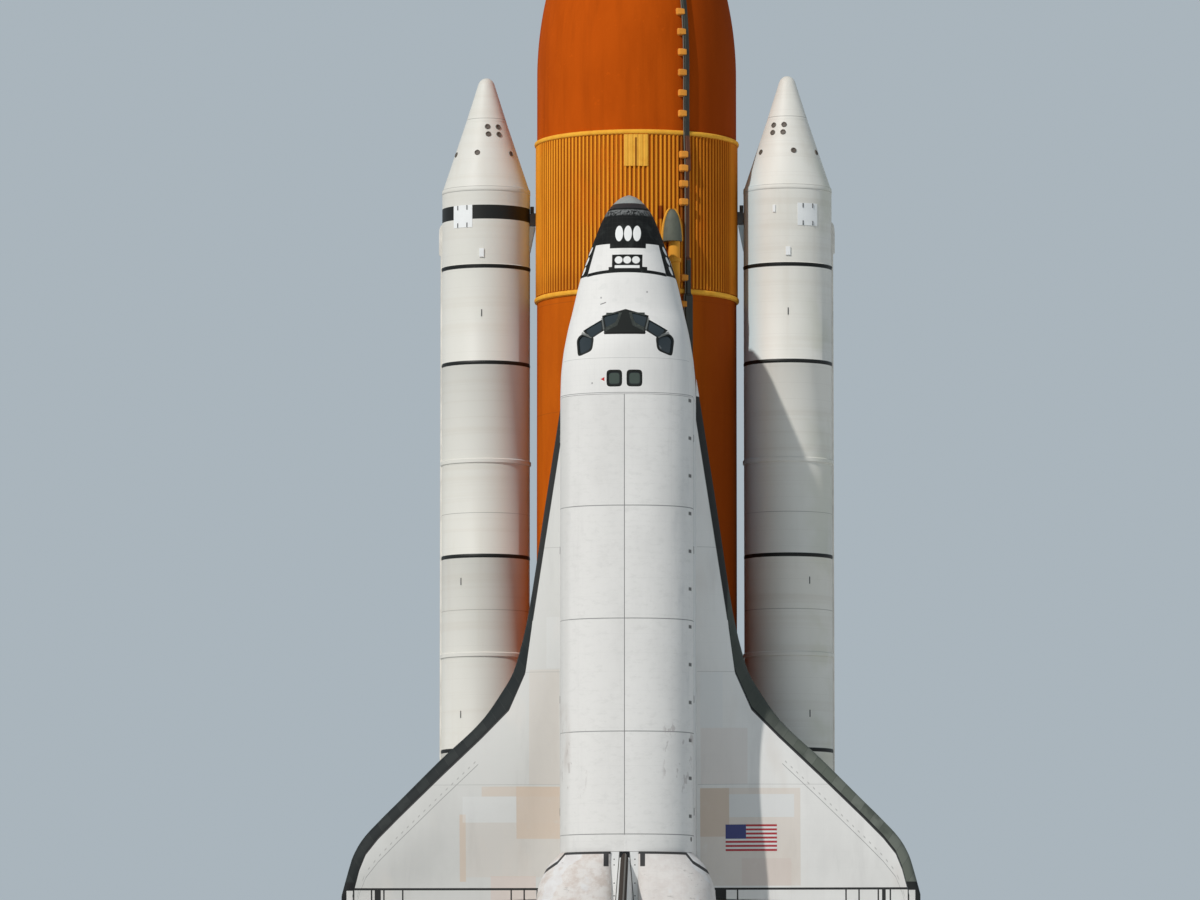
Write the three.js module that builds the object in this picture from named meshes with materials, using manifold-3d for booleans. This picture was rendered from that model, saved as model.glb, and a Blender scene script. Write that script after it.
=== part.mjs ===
// A space shuttle standing on its hold-down posts, as a 1:2 model: a winged orbiter on the side of its
// external tank, with a solid rocket booster on each side of the tank.
//
// Lengths are inches of the full-size vehicle, because its stations are numbered in inches. INCH turns
// them into this model's millimetres. In every group x runs aft, which is down as it stands, y runs to
// starboard, and z runs from the tank towards the orbiter's back.
import * as THREE from "three";
import { mergeVertices } from "three/addons/utils/BufferGeometryUtils.js";
import Module from "manifold-3d";

const wasm = await Module();
wasm.setup();

const MODEL_SCALE = 1 / 2;
const INCH = 25.4 * MODEL_SCALE;
const GAP = 0.024; // 0.3 mm between pieces that touch
const RUNNING = 0.45; // a little over 5 mm between pieces that move

// Where the four frames lie: stations of the orbiter, the boosters and the floor, counted on the tank
const ORBITER_STATION = 741;
const ORBITER_HEIGHT = -63.5;
const BOOSTER_STATION = 543;
const BOOSTER_OFFSET = 250.5;
const POST_HEIGHT = 72;
const SKIRT_BASE = 1930.64;
const FLOOR_STATION = BOOSTER_STATION + SKIRT_BASE + POST_HEIGHT;

// External tank
const TANK_RADIUS = 165.5;
const OGIVE_RADIUS = 612;
const OGIVE_END = 745;
const OXYGEN_NOSE = 371;
const TANK_TIP = 322.5;
const INTERTANK = [853, 1123];
const RIB_RADIUS = 168;
const FLANGE_RADIUS = 170;
const HYDROGEN_END = 2058;
const DOME_DEPTH = 115;
const TANK_SIDES = 32;

// Boosters
const CASE_RADIUS = 73;
const JOINT_RING_RADIUS = 75.3;
const ATTACH_RING_RADIUS = 78;
const ATTACH_RING = 1511;
const SKIRT_RADIUS = 104.1;
const BOOSTER_SIDES = 20;
const BOOSTER_NOZZLE_PIVOT = 1869;
const BOOSTER_NOZZLE_BALL = 24;

// Orbiter
const BAY = [576, 1307];
const BODY_HALF_WIDTH = 107;
const BELLY = 267;
const SILL = 414;
const ROOF = 500;
const CROWN = 2.25;
const BAY_RADIUS = 93;
const BAY_CENTRE = 400;
const DOOR_THICKNESS = 7;
const DOOR_HINGE = [BODY_HALF_WIDTH + 0.5, SILL + 0.2];
const CABIN_WALL = 8;
const ELEVON_HINGE = 1387;
const DIHEDRAL = 0.061;
const FIN_TIP = 816;
const BASE_TILT = THREE.MathUtils.degToRad(13);
const BASE_OFFSET = 1547.4;
const BODY_FLAP_HINGE = [1531.6, 287];
const BODY_FLAP_NOSE = 9;

const LOOKS = {
  foam: { color: 0xb4541c, roughness: 0.9 },
  ribbedFoam: { color: 0xd98f35, roughness: 0.85 },
  pipe: { color: 0xc9962f, roughness: 0.7 },
  tray: { color: 0x4d4038, roughness: 0.6 },
  steel: { color: 0x8a8c8e, roughness: 0.45, metalness: 0.7 },
  boosterWhite: { color: 0xe4e2dc, roughness: 0.55 },
  skirt: { color: 0xd8d5cc, roughness: 0.6 },
  blanket: { color: 0xeeece6, roughness: 0.8 },
  carbon: { color: 0x565b5c, roughness: 0.6 },
  tile: { color: 0x2b2c2e, roughness: 0.7 },
  glass: { color: 0x20262a, roughness: 0.1 },
  nozzle: { color: 0x6f6a64, roughness: 0.4, metalness: 0.8 },
  cabin: { color: 0x9ba3a5, roughness: 0.7 },
};

// Solids

// A three.js geometry in inches, as a manifold solid that faces out
function solid(geometry) {
  const bare = geometry.index ? geometry.toNonIndexed() : geometry.clone();
  const only = new THREE.BufferGeometry().setAttribute("position", bare.getAttribute("position"));
  const merged = mergeVertices(only, 1e-3);
  const p = merged.attributes.position;
  const kept = [];
  let volume = 0;
  const [a, b, c] = [new THREE.Vector3(), new THREE.Vector3(), new THREE.Vector3()];
  for (let i = 0; i < merged.index.count; i += 3) {
    const corner = [0, 1, 2].map((k) => merged.index.getX(i + k));
    if (new Set(corner).size < 3) continue;
    kept.push(...corner);
    a.fromBufferAttribute(p, corner[0]);
    b.fromBufferAttribute(p, corner[1]);
    c.fromBufferAttribute(p, corner[2]);
    volume += a.dot(b.cross(c));
  }
  if (volume < 0)
    for (let i = 0; i < kept.length; i += 3) [kept[i], kept[i + 1]] = [kept[i + 1], kept[i]];
  return new wasm.Manifold(
    new wasm.Mesh({ numProp: 3, vertProperties: p.array, triVerts: new Uint32Array(kept) }),
  );
}

function geometryOf(manifold) {
  const mesh = manifold.getMesh();
  const geometry = new THREE.BufferGeometry();
  geometry.setAttribute("position", new THREE.BufferAttribute(new Float32Array(mesh.vertProperties), 3));
  geometry.setIndex(new THREE.BufferAttribute(new Uint32Array(mesh.triVerts), 1));
  return geometry;
}

// A body of revolution about x from [radius, station] pairs, which start and end on the axis or close up
function lathe(profile, sides) {
  const points = profile.map(([radius, station]) => new THREE.Vector2(radius, station));
  return solid(new THREE.LatheGeometry(points, sides).rotateZ(-Math.PI / 2));
}

function box(x, y, z) {
  const size = [x, y, z].map(([low, high]) => high - low);
  const middle = [x, y, z].map(([low, high]) => (low + high) / 2);
  return solid(new THREE.BoxGeometry(...size).translate(...middle));
}

// A straight round bar from point to point, tapered if two radii are given
function rod(from, to, radius, endRadius = radius, sides = 12) {
  const [p, q] = [new THREE.Vector3(...from), new THREE.Vector3(...to)];
  const along = q.clone().sub(p);
  const turn = new THREE.Quaternion().setFromUnitVectors(
    new THREE.Vector3(0, 1, 0),
    along.clone().normalize(),
  );
  const bar = new THREE.CylinderGeometry(endRadius, radius, along.length(), sides);
  return solid(bar.applyQuaternion(turn).translate(...p.clone().add(q).divideScalar(2).toArray()));
}

function ball(centre, radius, sides = 16) {
  return solid(new THREE.SphereGeometry(radius, sides, sides / 2).translate(...centre));
}

// A closed skin over rings that all have the same number of [x, y, z] points, with a fan at each end
function loft(rings) {
  const count = rings[0].length;
  const points = rings.flat();
  const faces = [];
  for (let i = 0; i + 1 < rings.length; i++)
    for (let j = 0; j < count; j++) {
      const [a, b] = [i * count + j, i * count + ((j + 1) % count)];
      faces.push(a, b, b + count, a, b + count, a + count);
    }
  for (const first of [0, (rings.length - 1) * count]) {
    const ring = points.slice(first, first + count);
    points.push([0, 1, 2].map((k) => ring.reduce((sum, point) => sum + point[k], 0) / count));
    const centre = points.length - 1;
    for (let j = 0; j < count; j++) {
      const [a, b] = [first + j, first + ((j + 1) % count)];
      faces.push(...(first ? [a, b, centre] : [b, a, centre]));
    }
  }
  const geometry = new THREE.BufferGeometry();
  geometry.setAttribute("position", new THREE.Float32BufferAttribute(points.flat(), 3));
  geometry.setIndex(faces);
  return solid(geometry);
}

// An outline of [u, v] points pushed along x, y or z between two levels. Along x it lies in y and z,
// along y in x and z, and along z in x and y.
function prism(outline, axis, [low, high]) {
  const lay = {
    x: (u, v, level) => [level, u, v],
    y: (u, v, level) => [u, level, v],
    z: (u, v, level) => [u, v, level],
  }[axis];
  const flat = outline.map(([u, v]) => new THREE.Vector2(u, v));
  const faces = THREE.ShapeUtils.triangulateShape(flat, []);
  const count = flat.length;
  const points = [low, high].flatMap((level) => outline.map(([u, v]) => lay(u, v, level)));
  const index = faces.flatMap(([a, b, c]) => [a, c, b, a + count, b + count, c + count]);
  const side = THREE.ShapeUtils.isClockWise(flat) ? 1 : -1;
  for (let j = 0; j < count; j++) {
    const k = (j + 1) % count;
    const quad = [j, k, k + count, j, k + count, j + count];
    index.push(...(side < 0 ? quad : quad.toReversed()));
  }
  const geometry = new THREE.BufferGeometry();
  geometry.setAttribute("position", new THREE.Float32BufferAttribute(points.flat(), 3));
  geometry.setIndex(index);
  return solid(geometry);
}

const union = (...solids) => solids.reduce((sum, next) => sum.add(next));
const mirrored = (manifold) => manifold.mirror([0, 1, 0]);
const lerp = THREE.MathUtils.lerp;
const radians = THREE.MathUtils.degToRad;

// The value at x along a table of [x, value] rows
function along(table, x) {
  const next = table.findIndex(([at]) => at >= x);
  if (next === 0) return table[0][1];
  if (next < 0) return table.at(-1)[1];
  const [[x0, v0], [x1, v1]] = [table[next - 1], table[next]];
  return lerp(v0, v1, (x - x0) / (x1 - x0));
}

// Groups, each in its own stations

const vehicle = new THREE.Group();
vehicle.setRotationFromMatrix(
  new THREE.Matrix4().makeBasis(
    new THREE.Vector3(0, 0, -1),
    new THREE.Vector3(1, 0, 0),
    new THREE.Vector3(0, -1, 0),
  ),
);
const MIDDLE = (FIN_TIP + ORBITER_HEIGHT - TANK_RADIUS) / 2;
vehicle.position.set(0, MIDDLE * INCH, FLOOR_STATION * INCH);

function groupAt(x, y, z, parent = vehicle) {
  const group = new THREE.Group();
  group.position.set(x * INCH, y * INCH, z * INCH);
  parent.add(group);
  return group;
}

const tank = groupAt(0, 0, 0);
const boosters = { left: groupAt(BOOSTER_STATION, -BOOSTER_OFFSET, 0), right: null };
boosters.right = groupAt(BOOSTER_STATION, BOOSTER_OFFSET, 0);
const orbiter = groupAt(ORBITER_STATION, 0, ORBITER_HEIGHT);

function add(group, name, manifold, look) {
  const geometry = geometryOf(manifold).scale(INCH, INCH, INCH);
  const mesh = new THREE.Mesh(geometry, new THREE.MeshStandardMaterial(LOOKS[look]));
  mesh.name = name;
  group.add(mesh);
  return mesh;
}

// External tank

const ogive = (x) => TANK_RADIUS - OGIVE_RADIUS + Math.sqrt(OGIVE_RADIUS ** 2 - (OGIVE_END - x) ** 2);

function tankRadiusAt(x) {
  if (x < OGIVE_END) return ogive(x);
  return x > INTERTANK[0] - 3 && x < INTERTANK[1] + 3 ? FLANGE_RADIUS : TANK_RADIUS;
}

const OGIVE_STEPS = 7;

function oxygenTank() {
  const curve = Array.from({ length: OGIVE_STEPS + 1 }, (_, i) => {
    const x = lerp(OXYGEN_NOSE, OGIVE_END, i / OGIVE_STEPS);
    return [ogive(x), x];
  });
  const cap = [
    [0, TANK_TIP],
    [1.5, TANK_TIP + 1],
    [3, 340],
    [16, 352],
    [30, 364],
  ];
  return lathe([...cap, ...curve, [TANK_RADIUS, INTERTANK[0] - GAP], [0, INTERTANK[0] - GAP]], TANK_SIDES);
}

// The ribbed cylinder between the tanks, with the beam ends that take the boosters' thrust
function intertank() {
  const [top, bottom] = INTERTANK;
  const FLANGE = 8;
  const FITTING = [972, 991];
  const CATCHER = { station: 959, offset: 174, radius: 3.2 };
  const shell = lathe(
    [
      [0, top],
      [FLANGE_RADIUS, top],
      [FLANGE_RADIUS, top + FLANGE],
      [RIB_RADIUS, top + FLANGE],
      [RIB_RADIUS, bottom - FLANGE],
      [FLANGE_RADIUS, bottom - FLANGE],
      [FLANGE_RADIUS, bottom],
      [0, bottom],
    ],
    TANK_SIDES,
  );
  const reach = BOOSTER_OFFSET - CASE_RADIUS - GAP;
  const catchers = [-1, 1].map((side) => {
    const y = side * CATCHER.offset;
    return rod([CATCHER.station, y, 0], [FITTING[0] + 1, y, 0], CATCHER.radius, CATCHER.radius, 8);
  });
  return union(shell, box(FITTING, [-reach, reach], [-9, 9]), ...catchers);
}

function hydrogenTank() {
  const DOME_STEPS = 7;
  const dome = Array.from({ length: DOME_STEPS + 1 }, (_, i) => {
    const turn = (Math.PI / 2) * (i / DOME_STEPS);
    const radius = i < DOME_STEPS ? TANK_RADIUS * Math.cos(turn) : 0;
    return [radius, HYDROGEN_END + DOME_DEPTH * Math.sin(turn)];
  });
  const start = INTERTANK[1] + GAP;
  return lathe([[0, start], [TANK_RADIUS, start], ...dome], TANK_SIDES);
}

// The hydrogen tank's wall, a gap larger, which cuts what rests on it
const tankWall = lathe(
  [
    [0, INTERTANK[1] - 20],
    [TANK_RADIUS + GAP, INTERTANK[1] - 20],
    [TANK_RADIUS + GAP, HYDROGEN_END + 60],
    [0, HYDROGEN_END + 60],
  ],
  TANK_SIDES,
);

// The whole tank, a gap larger, for what runs along it
const tankEnvelope = lathe(
  [
    [0, OXYGEN_NOSE],
    ...Array.from({ length: OGIVE_STEPS + 1 }, (_, i) => {
      const x = lerp(OXYGEN_NOSE, OGIVE_END, i / OGIVE_STEPS);
      return [ogive(x) + GAP, x];
    }),
    [TANK_RADIUS + GAP, INTERTANK[0] - GAP * 2],
    [FLANGE_RADIUS + GAP, INTERTANK[0] - GAP * 2],
    [FLANGE_RADIUS + GAP, INTERTANK[1] + GAP * 2],
    [TANK_RADIUS + GAP, INTERTANK[1] + GAP * 2],
    [TANK_RADIUS + GAP, HYDROGEN_END + 60],
    [0, HYDROGEN_END + 60],
  ],
  TANK_SIDES,
);

// A point at an angle round the tank from the orbiter's side towards starboard
const round = (angle, radius, x) => [x, radius * Math.sin(angle), radius * Math.cos(angle)];

const FEEDLINE_ANGLE = radians(22.7);
const FEEDLINE_RADIUS = 9.5;
const FEEDLINE_OUT = TANK_RADIUS + 14;
const UMBILICAL = [2078, 2102];
const BELLY_LEVEL = BELLY + ORBITER_HEIGHT;

// The liquid oxygen pipe down the tank's side, its fairing on the intertank, its brackets and its elbow
function oxygenFeedline() {
  const [fairingTop, fairingEnd] = [986, 1046];
  const at = (x, out = FEEDLINE_OUT) => round(FEEDLINE_ANGLE, out, x);
  const FAIRING_RADIUS = 15.5;
  const nose = [0, 0.2, 0.45, 0.75, 1].map((t) => [
    FAIRING_RADIUS * Math.sqrt(1 - (1 - t) ** 2),
    lerp(fairingTop, fairingEnd, t),
  ]);
  const [, y, z] = at(0, FLANGE_RADIUS + 9);
  const fairing = lathe([...nose, [0, fairingEnd]], 16)
    .translate([0, y, z])
    .subtract(lathe([[0, 900], [RIB_RADIUS + GAP, 900], [RIB_RADIUS + GAP, 1100], [0, 1100]], TANK_SIDES));
  const [turnStart, middle] = [2050, (UMBILICAL[0] + UMBILICAL[1]) / 2];
  const [, pipeY, pipeZ] = at(0);
  const pipe = rod(at(fairingEnd - 8), at(turnStart), FEEDLINE_RADIUS);
  const corner = new THREE.QuadraticBezierCurve3(
    new THREE.Vector3(turnStart - 3, pipeY, pipeZ),
    new THREE.Vector3(middle, pipeY, pipeZ),
    new THREE.Vector3(middle, pipeY + 1, BELLY_LEVEL - 8),
  );
  const ring = Array.from({ length: 12 }, (_, i) => {
    const turn = (i / 12) * 2 * Math.PI;
    return new THREE.Vector2(FEEDLINE_RADIUS * Math.cos(turn), FEEDLINE_RADIUS * Math.sin(turn));
  });
  const elbow = solid(new THREE.ExtrudeGeometry(new THREE.Shape(ring), { steps: 6, extrudePath: corner }));
  const plate = box(UMBILICAL, [pipeY - 15, pipeY + 15], [BELLY_LEVEL - 12, BELLY_LEVEL - GAP]);
  const brackets = [1200, 1410, 1620, 1830, 2020].map((x) =>
    rod(at(x, TANK_RADIUS - 4), at(x, FEEDLINE_OUT), 5, 5, 8),
  );
  const wall = tankWall;
  return union(fairing, pipe, elbow, plate, union(...brackets).subtract(wall));
}

// The strip of cables and pressure lines that runs down the tank beside the feedline
function cableTray() {
  const TRAY_ANGLE = radians(31.6);
  const [half, depth] = [4.5, 6.5];
  const stations = [420, 470, 520, 570, 620, 680, 745, 846, 849.5, 1126.5, 1130, 2045];
  const across = [
    [-half, 0],
    [half, 0],
    [half, depth],
    [-half, depth],
  ];
  return loft(
    stations.map((x) =>
      across.map(([side, out]) => {
        const radius = tankRadiusAt(x) - 3 + out * 1.4;
        const [, y, z] = round(TRAY_ANGLE, radius, x);
        return [x, y + side * Math.cos(TRAY_ANGLE), z - side * Math.sin(TRAY_ANGLE)];
      }),
    ),
  ).subtract(tankEnvelope);
}

// The two legs that hold the orbiter's nose
function forwardBipod() {
  const APEX = [1122, 0, 202];
  const FOOT = [1134, 42, 157];
  const legs = [-1, 1].map((side) => {
    const foot = [FOOT[0], side * FOOT[1], FOOT[2]];
    return union(
      rod(foot, APEX, 3.4),
      box([FOOT[0] - 7, FOOT[0] + 9], [foot[1] - 7, foot[1] + 7], [150, 165]),
    );
  });
  const head = rod([APEX[0], 0, APEX[2] - 4], [APEX[0], 0, BELLY_LEVEL + 8], 5);
  const belly = bodyLoft(sectionsBetween(340, 420), -GAP).translate([ORBITER_STATION, 0, ORBITER_HEIGHT]);
  return union(...legs, head).subtract(tankWall).subtract(belly);
}

// The beam and struts under the orbiter's tail, with the liquid hydrogen line on the port side
function aftAttachFrame() {
  const STATION = 2057;
  const BALL_OFFSET = 96.5;
  const beam = box([STATION - 6, STATION + 6], [-104, 104], [180, 190]);
  const sides = [-1, 1].map((side) => {
    const head = [STATION, side * BALL_OFFSET, 186];
    return union(
      rod(head, [STATION, side * BALL_OFFSET, BELLY_LEVEL - GAP], 7),
      rod(head, [STATION - 178, side * 118, 114], 5.5),
      rod(head, [STATION + 3, side * 124, 100], 4),
    );
  });
  const brace = rod([STATION + 3, 36, 155], [STATION + 3, -88, 183], 4);
  const umbilical = box(UMBILICAL, [-84, -54], [BELLY_LEVEL - 14, BELLY_LEVEL - GAP]);
  const line = rod([STATION - 60, -69, 148], [UMBILICAL[0] + 10, -69, BELLY_LEVEL - 10], 7);
  return union(beam, ...sides, brace, umbilical, line).subtract(tankWall);
}

// Boosters, built about their own axes

const fullCase = (start, end, rings = []) => {
  const outline = [
    [0, start + GAP],
    [CASE_RADIUS, start + GAP],
  ];
  for (const [from, to, radius] of rings)
    outline.push([CASE_RADIUS, from], [radius, from + 1], [radius, to - 1], [CASE_RADIUS, to]);
  return lathe([...outline, [CASE_RADIUS, end - GAP], [0, end - GAP]], BOOSTER_SIDES);
};

// A booster's sections: name, start, end, rings as [from, to, radius]
const BOOSTER_CASES = [
  ["case_forward", 523, 851.5, [[841.5, 850, JOINT_RING_RADIUS]]],
  ["case_mid_forward", 851.5, 1171.5, [[1161.5, 1170, JOINT_RING_RADIUS]]],
  ["case_mid_aft", 1171.5, 1491.5, [[1481.5, 1490, JOINT_RING_RADIUS]]],
  [
    "case_aft",
    1491.5,
    1837,
    [
      [ATTACH_RING - 6, ATTACH_RING + 6, ATTACH_RING_RADIUS],
      [1575, 1580, 77],
      [1695, 1700, 77],
      [1775, 1780, 77],
    ],
  ],
];

// Where the cable tunnel passes the case's rings
const TUNNEL_HALF = 5.5;
const tunnelWay = (side) => {
  const [near, far] = [CASE_RADIUS + GAP / 2, CASE_RADIUS + 20];
  const y = side > 0 ? [near, far] : [-far, -near];
  return box([300, 1900], y, [-TUNNEL_HALF - GAP, TUNNEL_HALF + GAP]);
};

function boosterNose() {
  const outline = [
    [0, 200],
    [8, 201],
    [11.7, 204.2],
    [13.8, 211],
    [33.9, 275],
    [73.5, 395 - GAP],
    [0, 395 - GAP],
  ];
  return lathe(outline, BOOSTER_SIDES);
}

function forwardSkirt(side) {
  const outline = [
    [0, 395],
    [73.6, 395],
    [73.6, 397],
    [CASE_RADIUS, 398],
    [CASE_RADIUS, 519],
    [74, 520],
    [74, 523 - GAP],
    [0, 523 - GAP],
  ];
  const inboard = (x, radius) => [x, -side * radius];
  const cover = prism(
    [inboard(450, 71), inboard(450, 81), inboard(492, 73.4), inboard(492, 71)],
    "z",
    [-8, 8],
  );
  return lathe(outline, BOOSTER_SIDES).subtract(tunnelWay(side)).add(cover);
}

function tunnel(side) {
  const [near, far] = [CASE_RADIUS + GAP, CASE_RADIUS + 5.5];
  const y = side > 0 ? [near, far] : [-far, -near];
  return box([452, 1836], y, [-TUNNEL_HALF, TUNNEL_HALF]);
}

// The flared skirt with the four posts it is bolted to, and the seat that its nozzle turns in
function aftSkirt() {
  const [top, base] = [1837, SKIRT_BASE];
  const SEAT_RADIUS = 25.2;
  const wall = lathe(
    [
      [0, top],
      [75.5, top],
      [SKIRT_RADIUS, base - 8],
      [SKIRT_RADIUS, base],
      [98.5, base],
      [98.5, base - 7],
      [70, top + 7],
      [34, top + 7],
      [34, BOOSTER_NOZZLE_PIVOT - 4],
      [0, BOOSTER_NOZZLE_PIVOT - 4],
    ],
    BOOSTER_SIDES,
  ).subtract(ball([BOOSTER_NOZZLE_PIVOT, 0, 0], SEAT_RADIUS, 16));
  // Levels of a post: station, inner face, outer face, half width
  const POST_LEVELS = [
    [base - 0.5, 95, 110, 11],
    [base + 20, 95, 116, 13],
    [base + POST_HEIGHT - 10, 95, 132, 20],
    [base + POST_HEIGHT, 95, 134, 22],
  ];
  const posts = [45, 135, 225, 315].map((degrees) => {
    const turn = radians(degrees);
    const place = (x, out, side) => [
      x,
      out * Math.cos(turn) - side * Math.sin(turn),
      out * Math.sin(turn) + side * Math.cos(turn),
    ];
    return loft(
      POST_LEVELS.map(([x, inner, outer, half]) => [
        place(x, inner, -half),
        place(x, outer, -half),
        place(x, outer, half),
        place(x, inner, half),
      ]),
    );
  });
  const reach = BOOSTER_NOZZLE_PIVOT - BOOSTER_NOZZLE_BALL - GAP;
  const pad = rod([reach - 2, 0, 0], [reach, 0, 0], 2, 2, 8);
  return union(wall, pad, ...posts);
}

function boosterNozzle() {
  const pivot = BOOSTER_NOZZLE_PIVOT;
  const head = [90, 65, 40, 15, -15].map((degrees) => [
    Math.max(0, BOOSTER_NOZZLE_BALL * Math.cos(radians(degrees))),
    pivot - BOOSTER_NOZZLE_BALL * Math.sin(radians(degrees)),
  ]);
  head[0][0] = 0;
  const outline = [
    ...head,
    [24, pivot + 14],
    [44, pivot + 42],
    [74.8, 1989.6],
    [72, 1989.6],
    [41, pivot + 44],
    [0, pivot + 12],
  ];
  return lathe(outline, BOOSTER_SIDES);
}

// The three struts that hold a booster's aft end off the tank, in the tank's stations
function aftStruts(side) {
  const station = BOOSTER_STATION + ATTACH_RING;
  const [outer, inner] = [192, 156];
  const LEVEL = 48;
  const upper = rod([station, outer, LEVEL], [station, inner, LEVEL], 3.2);
  const lower = rod([station, outer, -LEVEL], [station, inner, -LEVEL], 3.2);
  const brace = rod([station - 4, outer - 4, LEVEL - 3], [station - 4, inner + 5, -LEVEL + 3], 3);
  const ends = [
    box([station - 8, station + 4], [inner - 4, inner + 9], [-LEVEL - 4, -LEVEL + 4]),
    box([station - 8, station + 4], [outer - 9, outer + 3], [LEVEL - 4, LEVEL + 4]),
  ];
  const ring = lathe(
    [
      [0, 1300],
      [CASE_RADIUS + GAP, 1300],
      [CASE_RADIUS + GAP, ATTACH_RING - 6 - GAP],
      [ATTACH_RING_RADIUS + GAP, ATTACH_RING - 6 - GAP],
      [ATTACH_RING_RADIUS + GAP, ATTACH_RING + 6 + GAP],
      [CASE_RADIUS + GAP, ATTACH_RING + 6 + GAP],
      [CASE_RADIUS + GAP, 1560],
      [0, 1560],
    ],
    BOOSTER_SIDES,
  ).translate([BOOSTER_STATION, BOOSTER_OFFSET, 0]);
  const struts = union(upper, lower, brace, ...ends).subtract(tankWall).subtract(ring);
  return side > 0 ? struts : mirrored(struts);
}

// Orbiter: the body

// Body sections: station, half width, belly, shoulder, roof, corner radius of the belly
const FORWARD_SECTIONS = [
  [236, 2, 335, 338, 341, 1],
  [240, 12, 325, 338, 353, 10],
  [249, 23, 309, 340, 369, 19],
  [262, 33.5, 297, 343, 386, 28],
  [280, 43, 289, 347, 401, 35],
  [300, 51, 282, 350, 412, 40],
  [340, 65.5, 275, 358, 430, 42],
  [380, 78, 271, 366, 442, 40],
  [420, 87, 269, 374, 452, 36],
  [434, 90, 268.5, 377, 457, 34],
  [456, 95, 268, 383, 475, 30],
  [478, 99, 267.5, 391, 491, 26],
  [505, 103, 267, 401, 498, 20],
  [540, 106, BELLY, 410, ROOF, 12],
  [BAY[0], BODY_HALF_WIDTH, BELLY, SILL, ROOF, 5],
];
const AFT_SECTIONS = [
  [BAY[1], BODY_HALF_WIDTH, BELLY, SILL, ROOF, 5],
  [1400, 108.5, BELLY, SILL, ROOF, 6],
  [1490, 111, 270, 412, ROOF, 10],
  [1540, 113, 274, 410, ROOF, 12],
];

const CORNER_STEPS = 3;
const CROWN_STEPS = 7;

function crownPoint(half, shoulder, roof, t) {
  const turn = (Math.PI / 2) * t;
  return [
    half * Math.max(0, Math.cos(turn)) ** (2 / CROWN),
    shoulder + (roof - shoulder) * Math.sin(turn) ** (2 / CROWN),
  ];
}

// One body section as a ring, drawn in by an inset on every side
function bodyRing([x, half, belly, shoulder, roof, corner], inset = 0) {
  const [h, low, high] = [half - inset, belly + inset, roof - inset];
  const r = Math.max(0.5, Math.min(corner - inset, h - 0.5));
  const side = [];
  for (let i = 0; i <= CORNER_STEPS; i++) {
    const turn = (Math.PI / 2) * (i / CORNER_STEPS);
    side.push([h - r + r * Math.sin(turn), low + r - r * Math.cos(turn)]);
  }
  for (let i = 0; i < CROWN_STEPS; i++)
    side.push(crownPoint(h, Math.max(shoulder, low + r + 0.5), high, i / CROWN_STEPS));
  const back = side.toReversed().map(([y, z]) => [-y, z]);
  return [...side, [0, high], ...back].map(([y, z]) => [x, y, z]);
}

const bodyLoft = (sections, inset = 0) => loft(sections.map((section) => bodyRing(section, inset)));

const CAP_END = 262;
function sectionsBetween(low, high) {
  const columns = [1, 2, 3, 4, 5].map((k) => FORWARD_SECTIONS.map((row) => [row[0], row[k]]));
  const cut = (x) => [x, ...columns.map((column) => along(column, x))];
  const inner = FORWARD_SECTIONS.filter(([x]) => x > low && x < high);
  return [cut(low), ...inner, cut(high)];
}

// Windshield and roof windows, each an outline of [station, offset to port or starboard]
const WINDSHIELD_PANES = [
  [[441, 10], [447.5, 35], [467.5, 31], [458, 15]],
  [[454.5, 38.5], [469.5, 65], [484, 54.5], [471.5, 36.5]],
  [[479, 70], [484.5, 52.5], [503, 55], [510.5, 73], [486, 75.5]],
];
const ROOF_PANE = [[540, 6], [540, 26.5], [562, 26.5], [562, 6]];
const CABIN = [436, 570];
const CABIN_FLOOR = 306;
const HATCH = { x: 507, z: 352, radius: 20 };
const HATCH_HINGE = [-103.7, 331.5];
const FLIGHT_DECK = [391, 396];

const paneWay = (outline, side) =>
  prism(outline.map(([x, y]) => [x, y * side]), "z", [425, 520]);
const shrunk = (outline, by) => {
  const middle = [0, 1].map((k) => outline.reduce((sum, point) => sum + point[k], 0) / outline.length);
  return outline.map((point) => point.map((value, k) => value - Math.sign(value - middle[k]) * by));
};

const cabinSpace = (inset) =>
  bodyLoft(sectionsBetween(CABIN[0] + inset - CABIN_WALL, CABIN[1] - inset + CABIN_WALL), inset).trimByPlane(
    [0, 0, 1],
    CABIN_FLOOR + inset - CABIN_WALL,
  );

const hatchWay = (radius) =>
  rod([HATCH.x, -120, HATCH.z], [HATCH.x, -60, HATCH.z], radius, radius, 24);

function forwardFuselage() {
  let shell = bodyLoft(sectionsBetween(CAP_END, BAY[0] - GAP)).subtract(cabinSpace(CABIN_WALL));
  for (const side of [-1, 1]) {
    for (const pane of WINDSHIELD_PANES) shell = shell.subtract(paneWay(pane, side));
    shell = shell.subtract(paneWay(ROOF_PANE, side));
  }
  const [y, z] = HATCH_HINGE;
  const pin = rod([HATCH.x - 5, y, z], [HATCH.x + 5, y, z], 1.2, 1.2, 12);
  return shell.subtract(hatchWay(HATCH.radius)).add(pin);
}

// Panes set in the openings, joined inside the cabin by the frame that holds them
function panes(outlines, frame) {
  const SET_BACK = 2;
  const FRAME_DEPTH = 2;
  const outer = bodyLoft(sectionsBetween(300, BAY[0] - 2), SET_BACK);
  const behind = bodyLoft(sectionsBetween(300, BAY[0] - 2), CABIN_WALL + GAP);
  const inner = bodyLoft(sectionsBetween(300, BAY[0] - 2), CABIN_WALL + FRAME_DEPTH);
  const ways = [-1, 1].flatMap((side) => outlines.map((pane) => paneWay(shrunk(pane, GAP * 4), side)));
  const glass = outer.subtract(inner).intersect(union(...ways));
  const ring = behind
    .subtract(inner)
    .intersect(prism(frame, "z", [425, 520]))
    .intersect(cabinSpace(CABIN_WALL + GAP));
  return glass.add(ring);
}

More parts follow.
